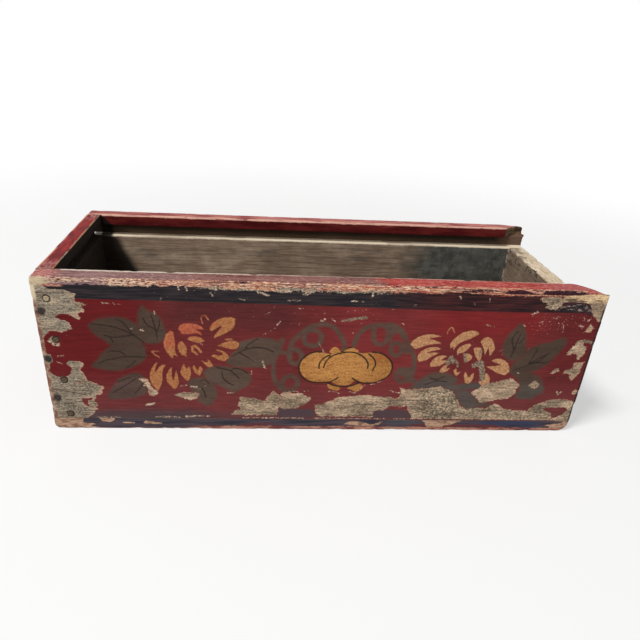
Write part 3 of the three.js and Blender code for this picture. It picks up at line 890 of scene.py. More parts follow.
ORNAMENT_LINES = [
    [(182.9, 66), (182.7, 73), (184.3, 79.9), (187.9, 84.2), (191.4, 87.8), (195, 90.8),
     (199.1, 92.9), (203.3, 94.1), (207.5, 94.8), (211.8, 93.7), (215.8, 91.2), (218.7, 87.7),
     (221.2, 83.6), (223.2, 79.5), (223.7, 74.1)],
    [(203.1, 88.6), (199.3, 89.7), (195.1, 89.3), (193.1, 86), (192.8, 81.9), (194.6, 78.3),
     (198.5, 76.9), (202.2, 77), (204.8, 79.7), (205.8, 83.9), (205.4, 86)],
    [(183, 73.3), (186.8, 73.4), (190.1, 71), (191.9, 67.4), (191.3, 63.7), (188.4, 61.1),
     (184.5, 61.7), (182.5, 64.7), (182.1, 69)],
    [(173.9, 71.3), (179.3, 70.2), (183, 71)],
    [(176.8, 81), (174.3, 74.3), (172.6, 69.5), (170.8, 63.3), (170.5, 57.1), (170.9, 50.8),
     (172.2, 45.7), (174.8, 41.2), (178.2, 38), (182.8, 37.1), (186.6, 38.1), (189.3, 42.1),
     (189.4, 46), (187.3, 49.1), (183.9, 50.4), (180.6, 49), (178, 45.8), (177.5, 42.6),
     (178.7, 40)],
    [(230.7, 77), (232.2, 83.3), (234.4, 88.1), (237.8, 91.7), (241.9, 93.8), (247.2, 94.8),
     (252.6, 94.9), (257.4, 95.3), (261.4, 94), (265.5, 91.1), (268.9, 86.4), (271.3, 81),
     (274.2, 76.2), (277.9, 70.1), (279.3, 63.9), (279.8, 58.9), (279.4, 53.7), (280.1, 48.6),
     (284.5, 44.1)],
    [(245.2, 93.6), (244.9, 88.9), (245.5, 83.5), (247.3, 80), (251.2, 78.8), (254.8, 80.7),
     (256, 85), (255.5, 90.9), (252.7, 94.4)],
    [(262.8, 80.6), (266.3, 79.1), (267.6, 75.5), (267.1, 71.2), (264.3, 69.3), (261, 71.1),
     (259.6, 75.3), (260, 79), (262.8, 80.6)],
    [(268.4, 57.1), (274, 57.8), (279.4, 57.6)],
    [(270, 57.7), (266.9, 55.5), (266.6, 51.6), (268.5, 47.7), (272.1, 46.5), (275.3, 48.5),
     (275.6, 52.4), (274.2, 56.2)],
]
ORNAMENT_WIDTH = 3.6
FRUIT = [
    [(190.5, 58), (192, 63.5), (196, 68), (201, 70.8), (207, 71.3), (214, 70), (222, 71.8),
     (230, 72.3), (238, 71), (245, 71.8), (252, 70.8), (258, 67), (262, 61), (262, 55),
     (259, 50), (254, 47), (247, 45), (240, 45.5), (235, 47.3), (230, 43), (222, 42.5),
     (216, 45.5), (211, 45.2), (203, 45), (197, 47.5), (192.5, 52)],
    [(213.6, 71), (213.8, 74), (216.5, 76), (219.5, 74.5), (220.5, 72.5), (224, 74.5),
     (229, 75.5), (232, 74.8), (235, 72), (226, 69)],
    [(213.5, 43.5), (214, 40), (217, 38.5), (221, 37.5), (223.5, 39.5), (221, 42)],
    [(229, 40), (232, 38.4), (236, 36.8), (240, 38.5), (241.5, 41), (239, 43.8), (235, 43)],
]
FRUIT_LINES = [
    [(209, 58), (210, 62), (213, 66.5), (218, 69.8), (225, 71.5), (230, 71.8), (236, 70),
     (241, 66), (243.5, 61.5), (243.3, 58)],
    [(205.5, 57), (205.8, 62), (209, 66.5), (213, 69)],
    [(243, 70.5), (247, 67), (249.3, 62), (247.5, 56.5)],
    [(221, 49.5), (217, 46.5), (213, 45), (203, 44.6), (196, 47), (191.5, 51.5), (190, 58),
     (191.5, 64), (196, 68.8), (201, 71.3), (207, 71.7)],
    [(232, 49), (237, 46), (243, 44.6), (251, 45.6), (256, 48), (260, 51), (262.5, 56),
     (262.3, 62), (258.5, 67.5), (252.5, 71.3), (246, 72)],
    [(213, 44.6), (218, 42.3), (226, 41.3), (233, 42.6), (237.5, 45)],
    [(221.5, 72), (225, 74.4), (229, 75.8)],
]
PETALS = [
    [(100.3, 88.5), (101.5, 91.5), (104.5, 93), (109, 93.2), (113, 92.8), (117, 91), (119, 88.5),
     (111, 88.8), (116, 86.5), (117.5, 83.2), (114, 85.5), (110, 85), (106, 84.5), (102.5, 84.8)],
    [(106, 80.3), (108, 82.3), (112, 83), (116, 82), (119.3, 79), (114.5, 77.3), (110, 78.5)],
    [(94.5, 87), (96.5, 86), (97.3, 77), (97, 72), (97.3, 68.5), (99.3, 65), (95.8, 67.5),
     (95, 63.7), (93, 66), (91, 69), (89.3, 73), (88.8, 77), (91, 84)],
    [(102.5, 78.8), (105.5, 74), (105.7, 71), (104.8, 67.5), (106, 65.8), (102, 67), (100, 70),
     (99, 74), (100.2, 77.5)],
    [(123.3, 87.5), (123, 90), (125, 93.5), (129, 96.5), (133, 98.3), (139, 98.7), (141.8, 97.5),
     (141.5, 94), (140.7, 91), (138.5, 88.3), (135, 86), (131, 84), (126.3, 81.5), (126, 82.8),
     (128, 86), (130, 88.5), (132, 91), (131.3, 92), (129, 90.5), (124.5, 87.2)],
    [(128.5, 75.3), (132, 77.5), (136, 79), (140, 79.8), (143, 79), (144.7, 77.5), (143.5, 74.5),
     (141.5, 72.7), (138, 72.8), (134, 74)],
    [(132, 80.3), (135, 81.4), (139, 81.4), (141.5, 80.5), (136, 80.1)],
    [(126, 72), (129, 72.2), (132.5, 71), (135.5, 68.5), (137, 65.5), (133.5, 62.3), (130, 63),
     (126.5, 65), (123, 67), (126, 68), (128.5, 67), (131.8, 67.3), (132.3, 69.5)],
    [(116.3, 62.7), (118.5, 61.5), (120.8, 61), (121, 64.6), (123.3, 61), (125.2, 58.5),
     (123.5, 57), (121, 57), (118.8, 59)],
    [(110.3, 59.3), (111.5, 56), (113.5, 54), (114.8, 58.5), (117, 55), (115.5, 51.5),
     (114.5, 49.5), (112, 50.8), (110.5, 53), (109.3, 56)],
    [(103, 59.7), (104.5, 54.8), (107.3, 58.3), (108, 51), (107, 47.5), (105.5, 44.5),
     (103, 46.5), (101, 49.5), (99.8, 52.5), (102, 58)],
    [(94, 57.5), (93.3, 49.5), (93.8, 44.5), (95, 46), (96, 51), (97, 54.7), (98.2, 47),
     (98.3, 43), (97, 39.5), (95, 37), (92, 40), (89.8, 43), (89.2, 47), (89.5, 50), (91.5, 54)],
    [(84, 61.5), (82, 57), (80.3, 50.7), (82, 52.5), (84, 56), (86.5, 58.5), (89.7, 58.8),
     (87.5, 55.5), (86.3, 51), (86.2, 46), (85, 41), (82.3, 35.5), (80, 38), (78, 41.5),
     (76.8, 46), (77, 50.5), (78.5, 55), (81.5, 59.5)],
    [(274, 79.5), (276, 83), (280, 86), (285, 87.8), (290, 88.3), (297.5, 86.7), (289, 85),
     (285.5, 84.5), (292, 83.3), (298.5, 80.8), (289, 79.5), (285, 78), (281, 76.2),
     (278.5, 75.2)],
    [(283, 64.3), (281.3, 67), (281.5, 70.5), (283.5, 73.5), (287, 76), (291, 77.2),
     (295, 77.3), (299.5, 75.8), (290, 73.5), (287, 71.5), (294, 72.8), (298, 72.3),
     (292, 69), (288.5, 66)],
    [(292.5, 60), (292, 62.5), (293.5, 66), (296, 69), (300, 70.3), (305, 69.8), (300, 66.5),
     (305.5, 65.5), (303, 63.5), (300, 61)],
    [(307, 62.3), (303.5, 61.5), (301.5, 58.8), (300.5, 55.5), (303.5, 55), (306.5, 56.5),
     (309.2, 59.5), (304.5, 58.5)],
    [(305, 80), (306.5, 83.5), (309.5, 87), (313, 90), (318, 91.7), (322, 91.8), (325, 90.7),
     (326, 89), (320, 85), (316, 83.3), (312.5, 81.5), (310.3, 79), (308.5, 75.2),
     (307.5, 78.5), (306, 75.8)],
    [(311.3, 74.5), (313, 77.5), (316.5, 80), (320, 81), (322, 79.5), (319, 75), (316.5, 73),
     (313.5, 72.5), (312.5, 70.3)],
    [(328.5, 82.5), (330, 85.5), (333, 86.8), (336, 85.7), (338.5, 83), (340, 79.5), (341, 77),
     (338.3, 69.5), (336.5, 76), (335.5, 78.5), (334.3, 71), (332, 77)],
    [(324, 77), (326.5, 77.8), (330, 77.3), (331.5, 74.5), (331.8, 67.5), (330.5, 65.5),
     (326.5, 70.5)],
    [(317, 72), (321, 72.3), (324.5, 70), (324, 67), (321, 64.5), (319.5, 67.5)],
    [(311.7, 57), (313, 54), (315, 52), (318.5, 57), (316, 55.5), (314.3, 55.5), (314, 59.7)],
    [(321.5, 56.5), (325, 50.5), (328.3, 55.7), (329, 51.5), (328, 47.5), (326, 45), (323, 46),
     (320.8, 53)],
    [(338, 55.5), (340.5, 54), (342.5, 50.5), (343, 46.5), (340, 43.5), (336.5, 44),
     (333.5, 47), (337.5, 49)],
    [(340.5, 66.3), (343.5, 68), (347, 68.3), (351, 66.8), (354.5, 64), (356.3, 60),
     (357, 56.5), (354, 53.5), (347, 55.5), (343, 58), (336.7, 61.2), (344, 61.5),
     (350, 62.7), (343, 65)],
]
PETAL_STROKES = [
    ([(113, 68), (109.8, 71), (109.8, 74), (112, 75), (114, 73), (116, 70)], 1.9),
    ([(118, 93), (117, 97), (117.8, 99.5), (120, 99.8), (122.5, 96)], 0.9),
    ([(301.5, 88.3), (301.3, 91), (303, 94), (304.5, 94), (306.5, 90)], 0.8),
    ([(80, 70), (85, 70)], 0.9),
    ([(80, 69.5), (82, 67), (85, 65)], 1.1),
]
GREY_SCRAPES = [
    ([(306, 64), (308, 68), (310.5, 65)], 4),
    ([(318.5, 71), (319.5, 66)], 2.6),
    ([(327.5, 62), (332, 64.5), (335, 57), (336.5, 50)], 4.4),
    ([(330, 76), (330, 70)], 2),
    ([(313.5, 64.5), (314.5, 61)], 1.6),
    ([(226.5, 98.3), (231, 100), (238, 100.4)], 2),
    ([(220, 97.6), (226, 99)], 1.5),
    ([(411, 85), (417, 83.5)], 2.4),
]
CHIPS = [
    ([(48, 107.8), (53, 107.4)], 1), ([(55.5, 108), (57, 106.8), (61, 106.8)], 0.8),
    ([(84, 99.5), (84.3, 102)], 1.2), ([(65.5, 88), (67.5, 88)], 1.2),
    ([(73, 87), (75, 87)], 2), ([(72.5, 22.8), (78.5, 23.6)], 2.4),
    ([(11, 64.3), (15.3, 65)], 1), ([(10.3, 59.7), (13.5, 58.2)], 1.1),
    ([(6.5, 77), (10, 73.8), (13.5, 73.2)], 1.6), ([(12.5, 80), (14, 77)], 0.9),
    ([(89.3, 110.5), (89.7, 113)], 0.9), ([(102, 119.5), (102, 122)], 1.6),
    ([(107, 121.5), (108, 118.8)], 1.8), ([(124, 122), (128, 120)], 2.6),
    ([(123.8, 117.5), (126, 115), (127.8, 117.5)], 1), ([(132, 121), (148, 120.6), (165, 121)], 2.2),
    ([(144.5, 113.4), (149, 112.4)], 1), ([(157.5, 118.8), (161, 118), (165.5, 116)], 1.8),
    ([(169, 120.5), (176, 119.4), (182, 120)], 2), ([(180, 113), (188.5, 113)], 1.3),
    ([(190, 121), (197.5, 120)], 2.2), ([(190.5, 117.8), (195, 118.8)], 1.6),
    ([(215, 119.8), (227, 120.6)], 1.4), ([(225.5, 113.4), (230, 113.3)], 1.6),
    ([(233.8, 114), (234.8, 112.8)], 1.1), ([(241, 123), (241, 119), (239.5, 116)], 1.5),
    ([(273, 111.2), (274, 111.4)], 1.2), ([(305.5, 119.5), (306.8, 117.3)], 1.1),
    ([(328.5, 118), (328.8, 115)], 0.9), ([(317, 113.8), (318, 113.4)], 0.9),
    ([(204.5, 97.3), (207.5, 98.5)], 2), ([(212.2, 99.5), (215.3, 97)], 1),
    ([(206.5, 104.5), (207, 102.8)], 0.9), ([(187, 106.5), (191, 107.2)], 0.9),
    ([(172, 93), (174.5, 96.3)], 1.2), ([(188.5, 94.3), (189.5, 95.4)], 1.1),
    ([(223, 104.7), (230, 106), (238, 107)], 0.6), ([(162, 101.6), (168, 103.8)], 0.8),
    ([(162, 84.5), (166, 87), (171, 91)], 0.6), ([(162, 62.7), (164.3, 57)], 1.6),
    ([(153.5, 65.3), (156.5, 64)], 1), ([(135.5, 34.4), (139.5, 34.6)], 1.6),
    ([(99.3, 40), (104, 40.8)], 1.4), ([(107.8, 39.5), (111.5, 39.3)], 2.2),
    ([(112, 36), (119, 41)], 0.7), ([(153.8, 51.5), (154, 54.5)], 1),
    ([(204, 79), (207, 74), (209, 70.5)], 0.9), ([(229, 88), (229.6, 87.4)], 1.3),
    ([(363, 106.3), (367.5, 108)], 1.5), ([(369.3, 98.8), (373, 100.5)], 0.9),
    ([(380, 104), (385.5, 102.7)], 0.8), ([(388.8, 99.5), (389.2, 98)], 1),
    ([(390.6, 97), (391, 94)], 0.8), ([(403.3, 97.8), (406, 96.8)], 1.7),
    ([(404.5, 104.3), (405.5, 103.4)], 1), ([(408.5, 101.5), (410, 104)], 1),
    ([(344, 74.3), (347, 76)], 0.9), ([(348, 73), (348.3, 71)], 0.7),
    ([(359, 97.5), (360, 96.8)], 1.4), ([(265.5, 96.5), (267, 95.6)], 1),
    ([(256.5, 107.3), (257.5, 108)], 1), ([(116, 77.3), (117.5, 76)], 1.1),
    ([(401, 38.5), (402.5, 36), (404.8, 38.6)], 1.6), ([(364, 56.2), (365.2, 55.6)], 1),
    ([(263, 38), (267, 36.4), (272, 36)], 1), ([(271.5, 22), (278.5, 24)], 1.1),
    ([(214, 36.5), (218, 37), (223, 35)], 0.9), ([(231, 37), (235, 35.5), (243, 43)], 1),
    ([(247.5, 43.5), (256.5, 46.5)], 0.9), ([(330, 97), (337, 95)], 0.6),
    ([(33, 10.6), (51, 10.6)], 1.4), ([(79, 11.6), (97.5, 11.5)], 1.5),
    ([(102, 11.8), (110, 12.6)], 2), ([(111, 12.6), (121, 12.5)], 1.3),
    ([(147, 11), (196, 11.3)], 1.1), ([(204, 11.2), (262, 11.4)], 0.8),
    ([(270, 11.2), (286, 11.4)], 0.8), ([(182, 36), (199, 36.8)], 0.5),
]
CRACKS = [
    [(1.5, 36.3), (10, 35), (20, 33), (28.5, 30.5)],
    [(390, 52), (400, 52.5), (410, 54)],
    [(86, 110.5), (110, 110.2), (140, 110.6)],
    [(183.4, 11.1), (184.6, 10.8)],
    [(374, 19), (375, 18.6)],
]


def curved(line, closed=True):
    """A smooth line through its points."""
    points = np.array(line, float)
    if closed:
        before, after, later = np.roll(points, 1, 0), np.roll(points, -1, 0), np.roll(points, -2, 0)
    else:
        before = np.vstack([points[:1], points[:-1]])
        after = np.vstack([points[1:], points[-1:]])
        later = np.vstack([points[2:], points[-1:], points[-1:]])
    bends = []
    for t in np.arange(CURVE_STEPS) / CURVE_STEPS:
        pull = (after - before) * t + (2 * before - 5 * points + 4 * after - later) * t**2
        bends.append(0.5 * (2 * points + pull + (3 * points - before - 3 * after + later) * t**3))
    return np.stack(bends, 1).reshape(-1, 2)


def smooth_strokes(lines, width=0):
    """Open lines made smooth, as strokes of one width."""
    return [(curved(line, False), width) for line in lines]


def distance_to(points, line, closed):
    """Distance in mm of each point to a line."""
    line = np.array(line, float)
    starts, ends = (line, np.roll(line, -1, 0)) if closed else (line[:-1], line[1:])
    nearest = np.full(len(points), 2 * FAR)
    for start, end in zip(starts, ends):
        run = end - start
        share = np.clip((points - start) @ run / max(run @ run, 1e-9), 0, 1)
        apart = np.linalg.norm(points - start - share[:, None] * run, axis=1)
        nearest = np.minimum(nearest, apart)
    return nearest


def is_inside(points, outline):
    """Whether each point lies inside a closed outline."""
    line = np.array(outline, float)
    crossed = np.zeros(len(points), bool)
    for start, end in zip(line, np.roll(line, -1, 0)):
        between = (start[1] > points[:, 1]) != (end[1] > points[:, 1])
        rise_of_line = end[1] - start[1] if end[1] != start[1] else 1.0
        across = start[0] + (points[:, 1] - start[1]) / rise_of_line * (end[0] - start[0])
        crossed ^= between & (points[:, 0] < across)
    return crossed


def near_line(points, line):
    """Which points lie near enough to a line for it to matter."""
    line = np.array(line, float)
    low, high = line.min(0) - FAR, line.max(0) + FAR
    return ((points > low) & (points < high)).all(1)


def distance_field(points, outlines=(), strokes=()):
    """Distance in mm to the nearest painted shape, below 0 inside it."""
    field = np.full(len(points), FAR)
    for outline in outlines:
        near = near_line(points, outline)
        apart = distance_to(points[near], outline, True)
        apart = np.where(is_inside(points[near], outline), -apart, apart)
        field[near] = np.minimum(field[near], apart)
    for line, width in strokes:
        near = near_line(points, line)
        apart = distance_to(points[near], line, False) - width / 2
        field[near] = np.minimum(field[near], apart)
    return field


front_low, _ = box_mm("front_board")
front = long_board(
    "front", "front_board", -1, FRONT_MOUTH_OUTER_RUN,
    outer_spacing=0.95, inner_spacing=4, seed=53,
)
spots = places_of(front)
on_face = np.stack([spots[:, 0] - front_low[0], spots[:, 2]], 1)
bare = distance_field(on_face, BARE_PATCHES)
bare = np.maximum(bare, -distance_field(on_face, PAINT_LEFT))
mark(front, "bare", bare)
shapes = {
    "petals": (PETALS, PETAL_STROKES),
    "leaves": ([curved(leaf) for leaf in LEAVES], []),
    "ornament": (ORNAMENT_MASSES, smooth_strokes(ORNAMENT_LINES, ORNAMENT_WIDTH)),
    "fruit": ([curved(part) for part in FRUIT], []),
    "fruit_lines": ([], smooth_strokes(FRUIT_LINES)),
    "veins": ([], smooth_strokes(VEINS)),
    "bands": (BANDS, []),
    "streaks": (ARRIS_STREAKS, []),
    "chips": ([], CHIPS),
    "scrapes": ([], GREY_SCRAPES),
    "cracks": ([], [(line, 0) for line in CRACKS]),
}
for name, (outlines, strokes) in shapes.items():
    mark(front, name, distance_field(on_face, outlines, strokes))
on_outside = (spots[:, 1] < front_low[1] + 3).astype(float)
press_in(front, PAINT_THICKNESS * rise(bare, 0.4, -0.4) * on_outside)
seat_fastenings(front, [n for n in corner_fastenings if n.startswith("front")], 1)


def shape_mask(place, name, ragged, blur=0.28):
    """1 inside a painted shape, with a brushed edge."""
    return (marked(place, name) + ragged).ramp(blur, blur * -1)


def front_ground(place, x, z):
    """The red under the decoration: darkest at the closed end, dull purple at the foot."""
    brushed = place.stretched(0.05, 1, 1).noise(1.5, 5.0, 0.6)
    clouds = place.noise(24, 4.0)
    red = x.ramp(-152, -108).between(srgb(100, 26, 28), srgb(108, 42, 42))
    red = red.covered(srgb(88, 40, 40), zone(x, -118, -22, 14) * z.ramp(80, 98) * 0.85)
    red = red.covered(srgb(124, 46, 46), zone(x, 0, 78, 16) * 0.8)
    red = red.covered(srgb(122, 36, 36), zone(x, 78, 165, 16) * z.ramp(74, 94) * 0.85)
    red = red.covered(srgb(98, 33, 34), x.ramp(158, 192) * 0.85)
    red = red.covered(srgb(110, 52, 52), z.ramp(60, 24) * 0.8)
    haze = (z + clouds * 8 - 4).ramp(22, 13) * (1 - x.ramp(-110, -70) * 0.55)
    red = red.covered(srgb(80, 62, 64), haze)
    fine = place.stretched(0.08, 1, 1).noise(0.8, 3.0)
    return shaded(red, (brushed * 0.4 + clouds * 0.25 + fine * 0.35) * 2 - 0.01)


def front_wood(place, x, z):
    """Bare wood of the face: grey at the closed end, tan elsewhere, specked with grime."""
    fibres = place.stretched(0.09, 1, 1).noise(0.9, 4.0, 0.6)
    fine = place.stretched(0.5, 1, 1).noise(0.9, 4.0, 0.7)
    lumps = place.stretched(0.45, 1, 1).noise(6, 6.0, 0.65)
    tone = (fibres * 0.35 + fine * 0.4 + lumps * 0.25).ramp(0.4, 0.6)
    grey = tone.between(srgb(96, 86, 74), srgb(174, 159, 139))
    grey = shaded(grey, 0.9 + z.ramp(20, 110) * 0.22)
    tan = tone.between(srgb(118, 97, 78), srgb(200, 172, 144))
    near_rim = marked(place, "bare").ramp(-3.6, -1.2) * x.ramp(-192, -180)
    tanned = (lumps * 0.5 + 0.25 + x.ramp(-176, -150) * 0.3).ramp(0.52, 0.62)
    colour = tanned.most(near_rim * 0.7).between(grey, tan)
    mould = place.stretched(0.7, 1, 1).noise(1.7, 5.0, 0.75)
    moulded = (zone(x, 76, 114, 8) * z.ramp(44, 36)).most(z.ramp(33, 27) * x.ramp(-80, -66) * 0.5)
    moulded = moulded.most(zone(x, 112, 200, 6) * z.ramp(30, 24) * 0.75)
    moulded = moulded.most(zone(x, 156, 174, 4) * z.ramp(108, 112) * 0.8)
    colour = colour.covered(srgb(80, 80, 68), mould.ramp(0.47, 0.56) * moulded * 0.9)
    colour = colour.covered(srgb(204, 188, 158), mould.ramp(0.44, 0.38) * moulded * 0.8)
    fresh = z.ramp(115.6, 117) * x.ramp(172, 178)
    colour = colour.covered(tone.between(srgb(168, 132, 98), srgb(228, 202, 158)), fresh * 0.95)
    specks = place.stretched(0.5, 1, 1).noise(0.8, 3.0, 0.6)
    rightwards = x.ramp(-176, -150)
    colour = colour.covered(srgb(58, 50, 43), specks.ramp(0.57, 0.64) * (0.75 - rightwards * 0.3))
    colour = colour.covered(srgb(212, 196, 170), specks.ramp(0.42, 0.35) * 0.45)
    clouds = place.stretched(0.45, 1, 1).noise(9, 4.0, 0.6).ramp(0.36, 0.64)
    high_up = zone(x, 76, 164, 8) * z.ramp(28, 35)
    colour = shaded(colour, 1 + rightwards * (clouds - 0.5) * 0.6 + high_up * 0.06 - moulded * 0.1)
    checks = place.stretched(0.035, 1, 1).noise(2.0, 4.0, 0.6)
    colour = colour.covered(srgb(52, 44, 38), checks.ramp(0.6, 0.64) * 0.7)
    return colour, fibres * 0.3 + fine * 0.15


def decoration(place, x, z, paint, ragged):
    """Olive leaves and scrolls, gold petals and fruit, dark bands, one over the other."""
    streaks = place.stretched(0.12, 1, 1).noise(1.3, 4.0) - 0.5
    hairs = place.stretched(0.08, 1, 1).noise(0.9, 3.0) - 0.5
    soft = streaks * 2.6 + hairs * 3 + ragged * 1.0
    grain = place.noise(1.0, 3.0)
    wash = place.stretched(0.4, 1, 1).noise(9, 4.0)
    olive = (x.ramp(-150, -90) * x.ramp(170, 110)).between(srgb(72, 59, 49), srgb(86, 71, 60))
    olive = olive.covered(srgb(84, 76, 71), zone(x, 72, 128, 6) * z.ramp(52, 46) * 0.9)
    olive = olive.covered(srgb(82, 65, 59), x.ramp(-130, -140) * z.ramp(52, 46) * 0.9)
    olive = olive.covered(srgb(82, 76, 70), zone(x, 146, 182, 4) * z.ramp(50, 42) * 0.8)
    olive = shaded(olive, 0.3 + (grain * 0.6 + wash * 0.8) + streaks * 0.5 + hairs * 0.6)
    thin = 0.9 + streaks * 0.7
    paint = paint.covered(olive, shape_mask(place, "ornament", soft * 0.6, 1.3) * thin)
    paint = paint.covered(olive, shape_mask(place, "leaves", soft, 1.7) * 0.95)
    veins = (marked(place, "veins") + ragged * 0.7).ramp(0.8, 0.3)
    paint = paint.covered(srgb(42, 33, 29), veins * 0.85)

    brushed = place.stretched(0.7, 1, 0.7).noise(1.3, 4.0, 0.65)
    tone = (brushed * 0.6 + grain * 0.4).ramp(0.4, 0.6)
    gold = tone.between(srgb(150, 92, 56), srgb(186, 126, 82))
    pale = tone.between(srgb(162, 112, 74), srgb(202, 152, 112))
    gold = x.ramp(0, 50).between(gold, pale)
    orange = tone.between(srgb(162, 76, 54), srgb(190, 108, 76))
    warm = zone(x, -116, -90, 4) * z.ramp(80, 85)
    warm = warm.most(zone(x, -124, -110, 4) * z.ramp(70, 76) * wash.ramp(0.42, 0.56) * 0.8)
    warm = warm.most(zone(x, -90, -78, 6) * z.ramp(84, 90) * wash.ramp(0.46, 0.56) * 0.6)
    gold = gold.covered(orange, warm)
    paint = paint.covered(gold, shape_mask(place, "petals", ragged * 0.9, 0.35))

    skin = place.stretched(0.25, 1, 1).noise(2.2, 5.0, 0.65)
    flesh = (skin * 0.5 + grain * 0.5).ramp(0.38, 0.58).between(srgb(146, 94, 48), srgb(186, 130, 72))
    ruddy = zone(x, 36, 54, 7) * z.ramp(59, 66) * skin.ramp(0.42, 0.55)
    flesh = flesh.covered(srgb(158, 86, 44), ruddy * 0.75)
    lit = zone(x, -14, 30, 12) * z.ramp(45, 52)
    flesh = shaded(flesh, 0.94 + lit * 0.2)
    flesh = flesh.covered(srgb(226, 176, 112), lit * place.noise(0.7).ramp(0.52, 0.62) * 0.35)
    paint = paint.covered(flesh, shape_mask(place, "fruit", ragged * 0.6, 0.4))
    outline = (marked(place, "fruit_lines") + ragged * 0.6).ramp(0.95, 0.4)
    paint = paint.covered(srgb(46, 34, 26), outline * 0.95)

    drawn = place.stretched(0.06, 1, 1).noise(1.4, 5.0, 0.6)
    black = drawn.ramp(0.38, 0.62).between(srgb(32, 30, 34), srgb(56, 47, 49))
    brown = drawn.ramp(0.38, 0.62).between(srgb(38, 22, 25), srgb(76, 36, 36))
    black = black.covered(brown, x.ramp(35, 90) * x.ramp(186, 166) * 0.9)
    black = black.covered(srgb(80, 62, 66), z.ramp(32, 26))
    torn = ragged * 1.2 + (ragged * 3 + streaks * 3) * z.ramp(115, 119.5) * x.ramp(-196, -176)
    bands = shape_mask(place, "bands", torn, 0.25 + x.ramp(0, 80) * 0.5)
    return paint.covered(black, bands)


def worn_strip(place, x, z, ragged):
    """Colour of the rubbed upper arris, and where it shows."""
    flecks = place.stretched(0.25, 1, 1).noise(0.75, 5.0, 0.8)
    streaks = place.stretched(0.05, 1, 1).noise(1.2, 4.0)
    layers = place.noise(12, 4.0)
    colour = flecks.ramp(0.43, 0.5).between(srgb(104, 56, 54), srgb(196, 140, 118))
    colour = colour.covered(srgb(206, 138, 98), zone(x, -110, 150, 18) * layers.ramp(0.46, 0.54) * 0.42)
    pale = (flecks + x.ramp(-120, -150) * 0.05 + x.ramp(-90, -20) * 0.02).ramp(0.53, 0.57)
    colour = colour.covered(srgb(230, 202, 172), pale * (1 - x.ramp(60, 110) * 0.5))
    worn_through = streaks.ramp(0.5, 0.44) * zone(x, -112, -5, 14) * z.ramp(122.6, 123.4)
    colour = colour.covered(srgb(112, 66, 64), worn_through * 0.75)
    mauve = x.ramp(-150, -170) * streaks.ramp(0.46, 0.52)
    colour = colour.covered(srgb(122, 92, 104), mauve * 0.8)
    colour = colour.covered(srgb(206, 186, 152), (x + layers * 14).ramp(-190, -196) * 0.9)
    colour = colour.covered(srgb(156, 60, 54), streaks.ramp(0.53, 0.6) * x.ramp(-60, 30) * 0.85)
    colour = colour.covered(srgb(60, 42, 46), streaks.ramp(0.44, 0.38) * (0.5 + x.ramp(50, 100) * 0.45))
    reach = z + ragged * 4.2 + (streaks - 0.5) * 6 + (layers - 0.5) * 5
    lowest = 121.4 - zone(x, -80, -20, 10) * 0.8 - x.ramp(-186, -194) * 1.6 - x.ramp(100, 130) * 0.4
    return colour, (reach - lowest).ramp(0, 0.5)


def fresh_corner(x, z):
    """1 on the bare corner above the open end."""
    return x.ramp(176, 192) * z.ramp(123.6, 122.6)


def front_top(place, x, inward, ragged):
    """The top of the front board: mauve at the closed end, red at the open end."""
    streaks = place.stretched(0.05, 1, 1).noise(1.7, 6.0, 0.65)
    flecks = place.stretched(0.3, 1, 1).noise(1.1, 5.0, 0.75)
    layers = place.stretched(0.3, 1, 1).noise(14, 4.0)
    tone = (streaks * 0.65 + flecks * 0.35).ramp(0.38, 0.6)
    mauve = tone.between(srgb(104, 68, 68), srgb(158, 124, 120))
    middle = tone.between(srgb(96, 52, 52), srgb(150, 106, 98))
    red = tone.between(srgb(142, 42, 42), srgb(184, 84, 76))
    top = (x + layers * 60).ramp(-100, -50).between(mauve, middle)
    top = top.covered(red, (x + layers * 40 + streaks * 50 - 45).ramp(30, 44))
    closed_corner = (x + flecks * 24 - 12).ramp(-186, -200)
    top = top.covered(flecks.ramp(0.42, 0.56).between(srgb(136, 76, 74), srgb(196, 132, 124)), closed_corner)
    top = top.covered(srgb(168, 92, 92), x.ramp(150, 180) * 0.7)
    top = top.covered(srgb(206, 150, 136), flecks.ramp(0.54, 0.6) * x.ramp(40, 60) * 0.6)
    top = top.covered(srgb(204, 172, 156), flecks.ramp(0.58, 0.64) * (0.85 - x.ramp(30, 60) * 0.55))
    top = top.covered(srgb(84, 40, 42), flecks.ramp(0.4, 0.34) * 0.7)
    inner_line = (inward + ragged * 3 + x.ramp(-70, -110) * 0.7).ramp(13.6, 14.3)
    inner_line = inner_line * (layers + x.ramp(-60, -110) * 0.3).ramp(0.42, 0.5)
    inner_line = inner_line * (x + flecks * 16).ramp(-186, -182) * (0.95 - x.ramp(-60, 0) * 0.6)
    return top.covered(srgb(216, 200, 184), inner_line)


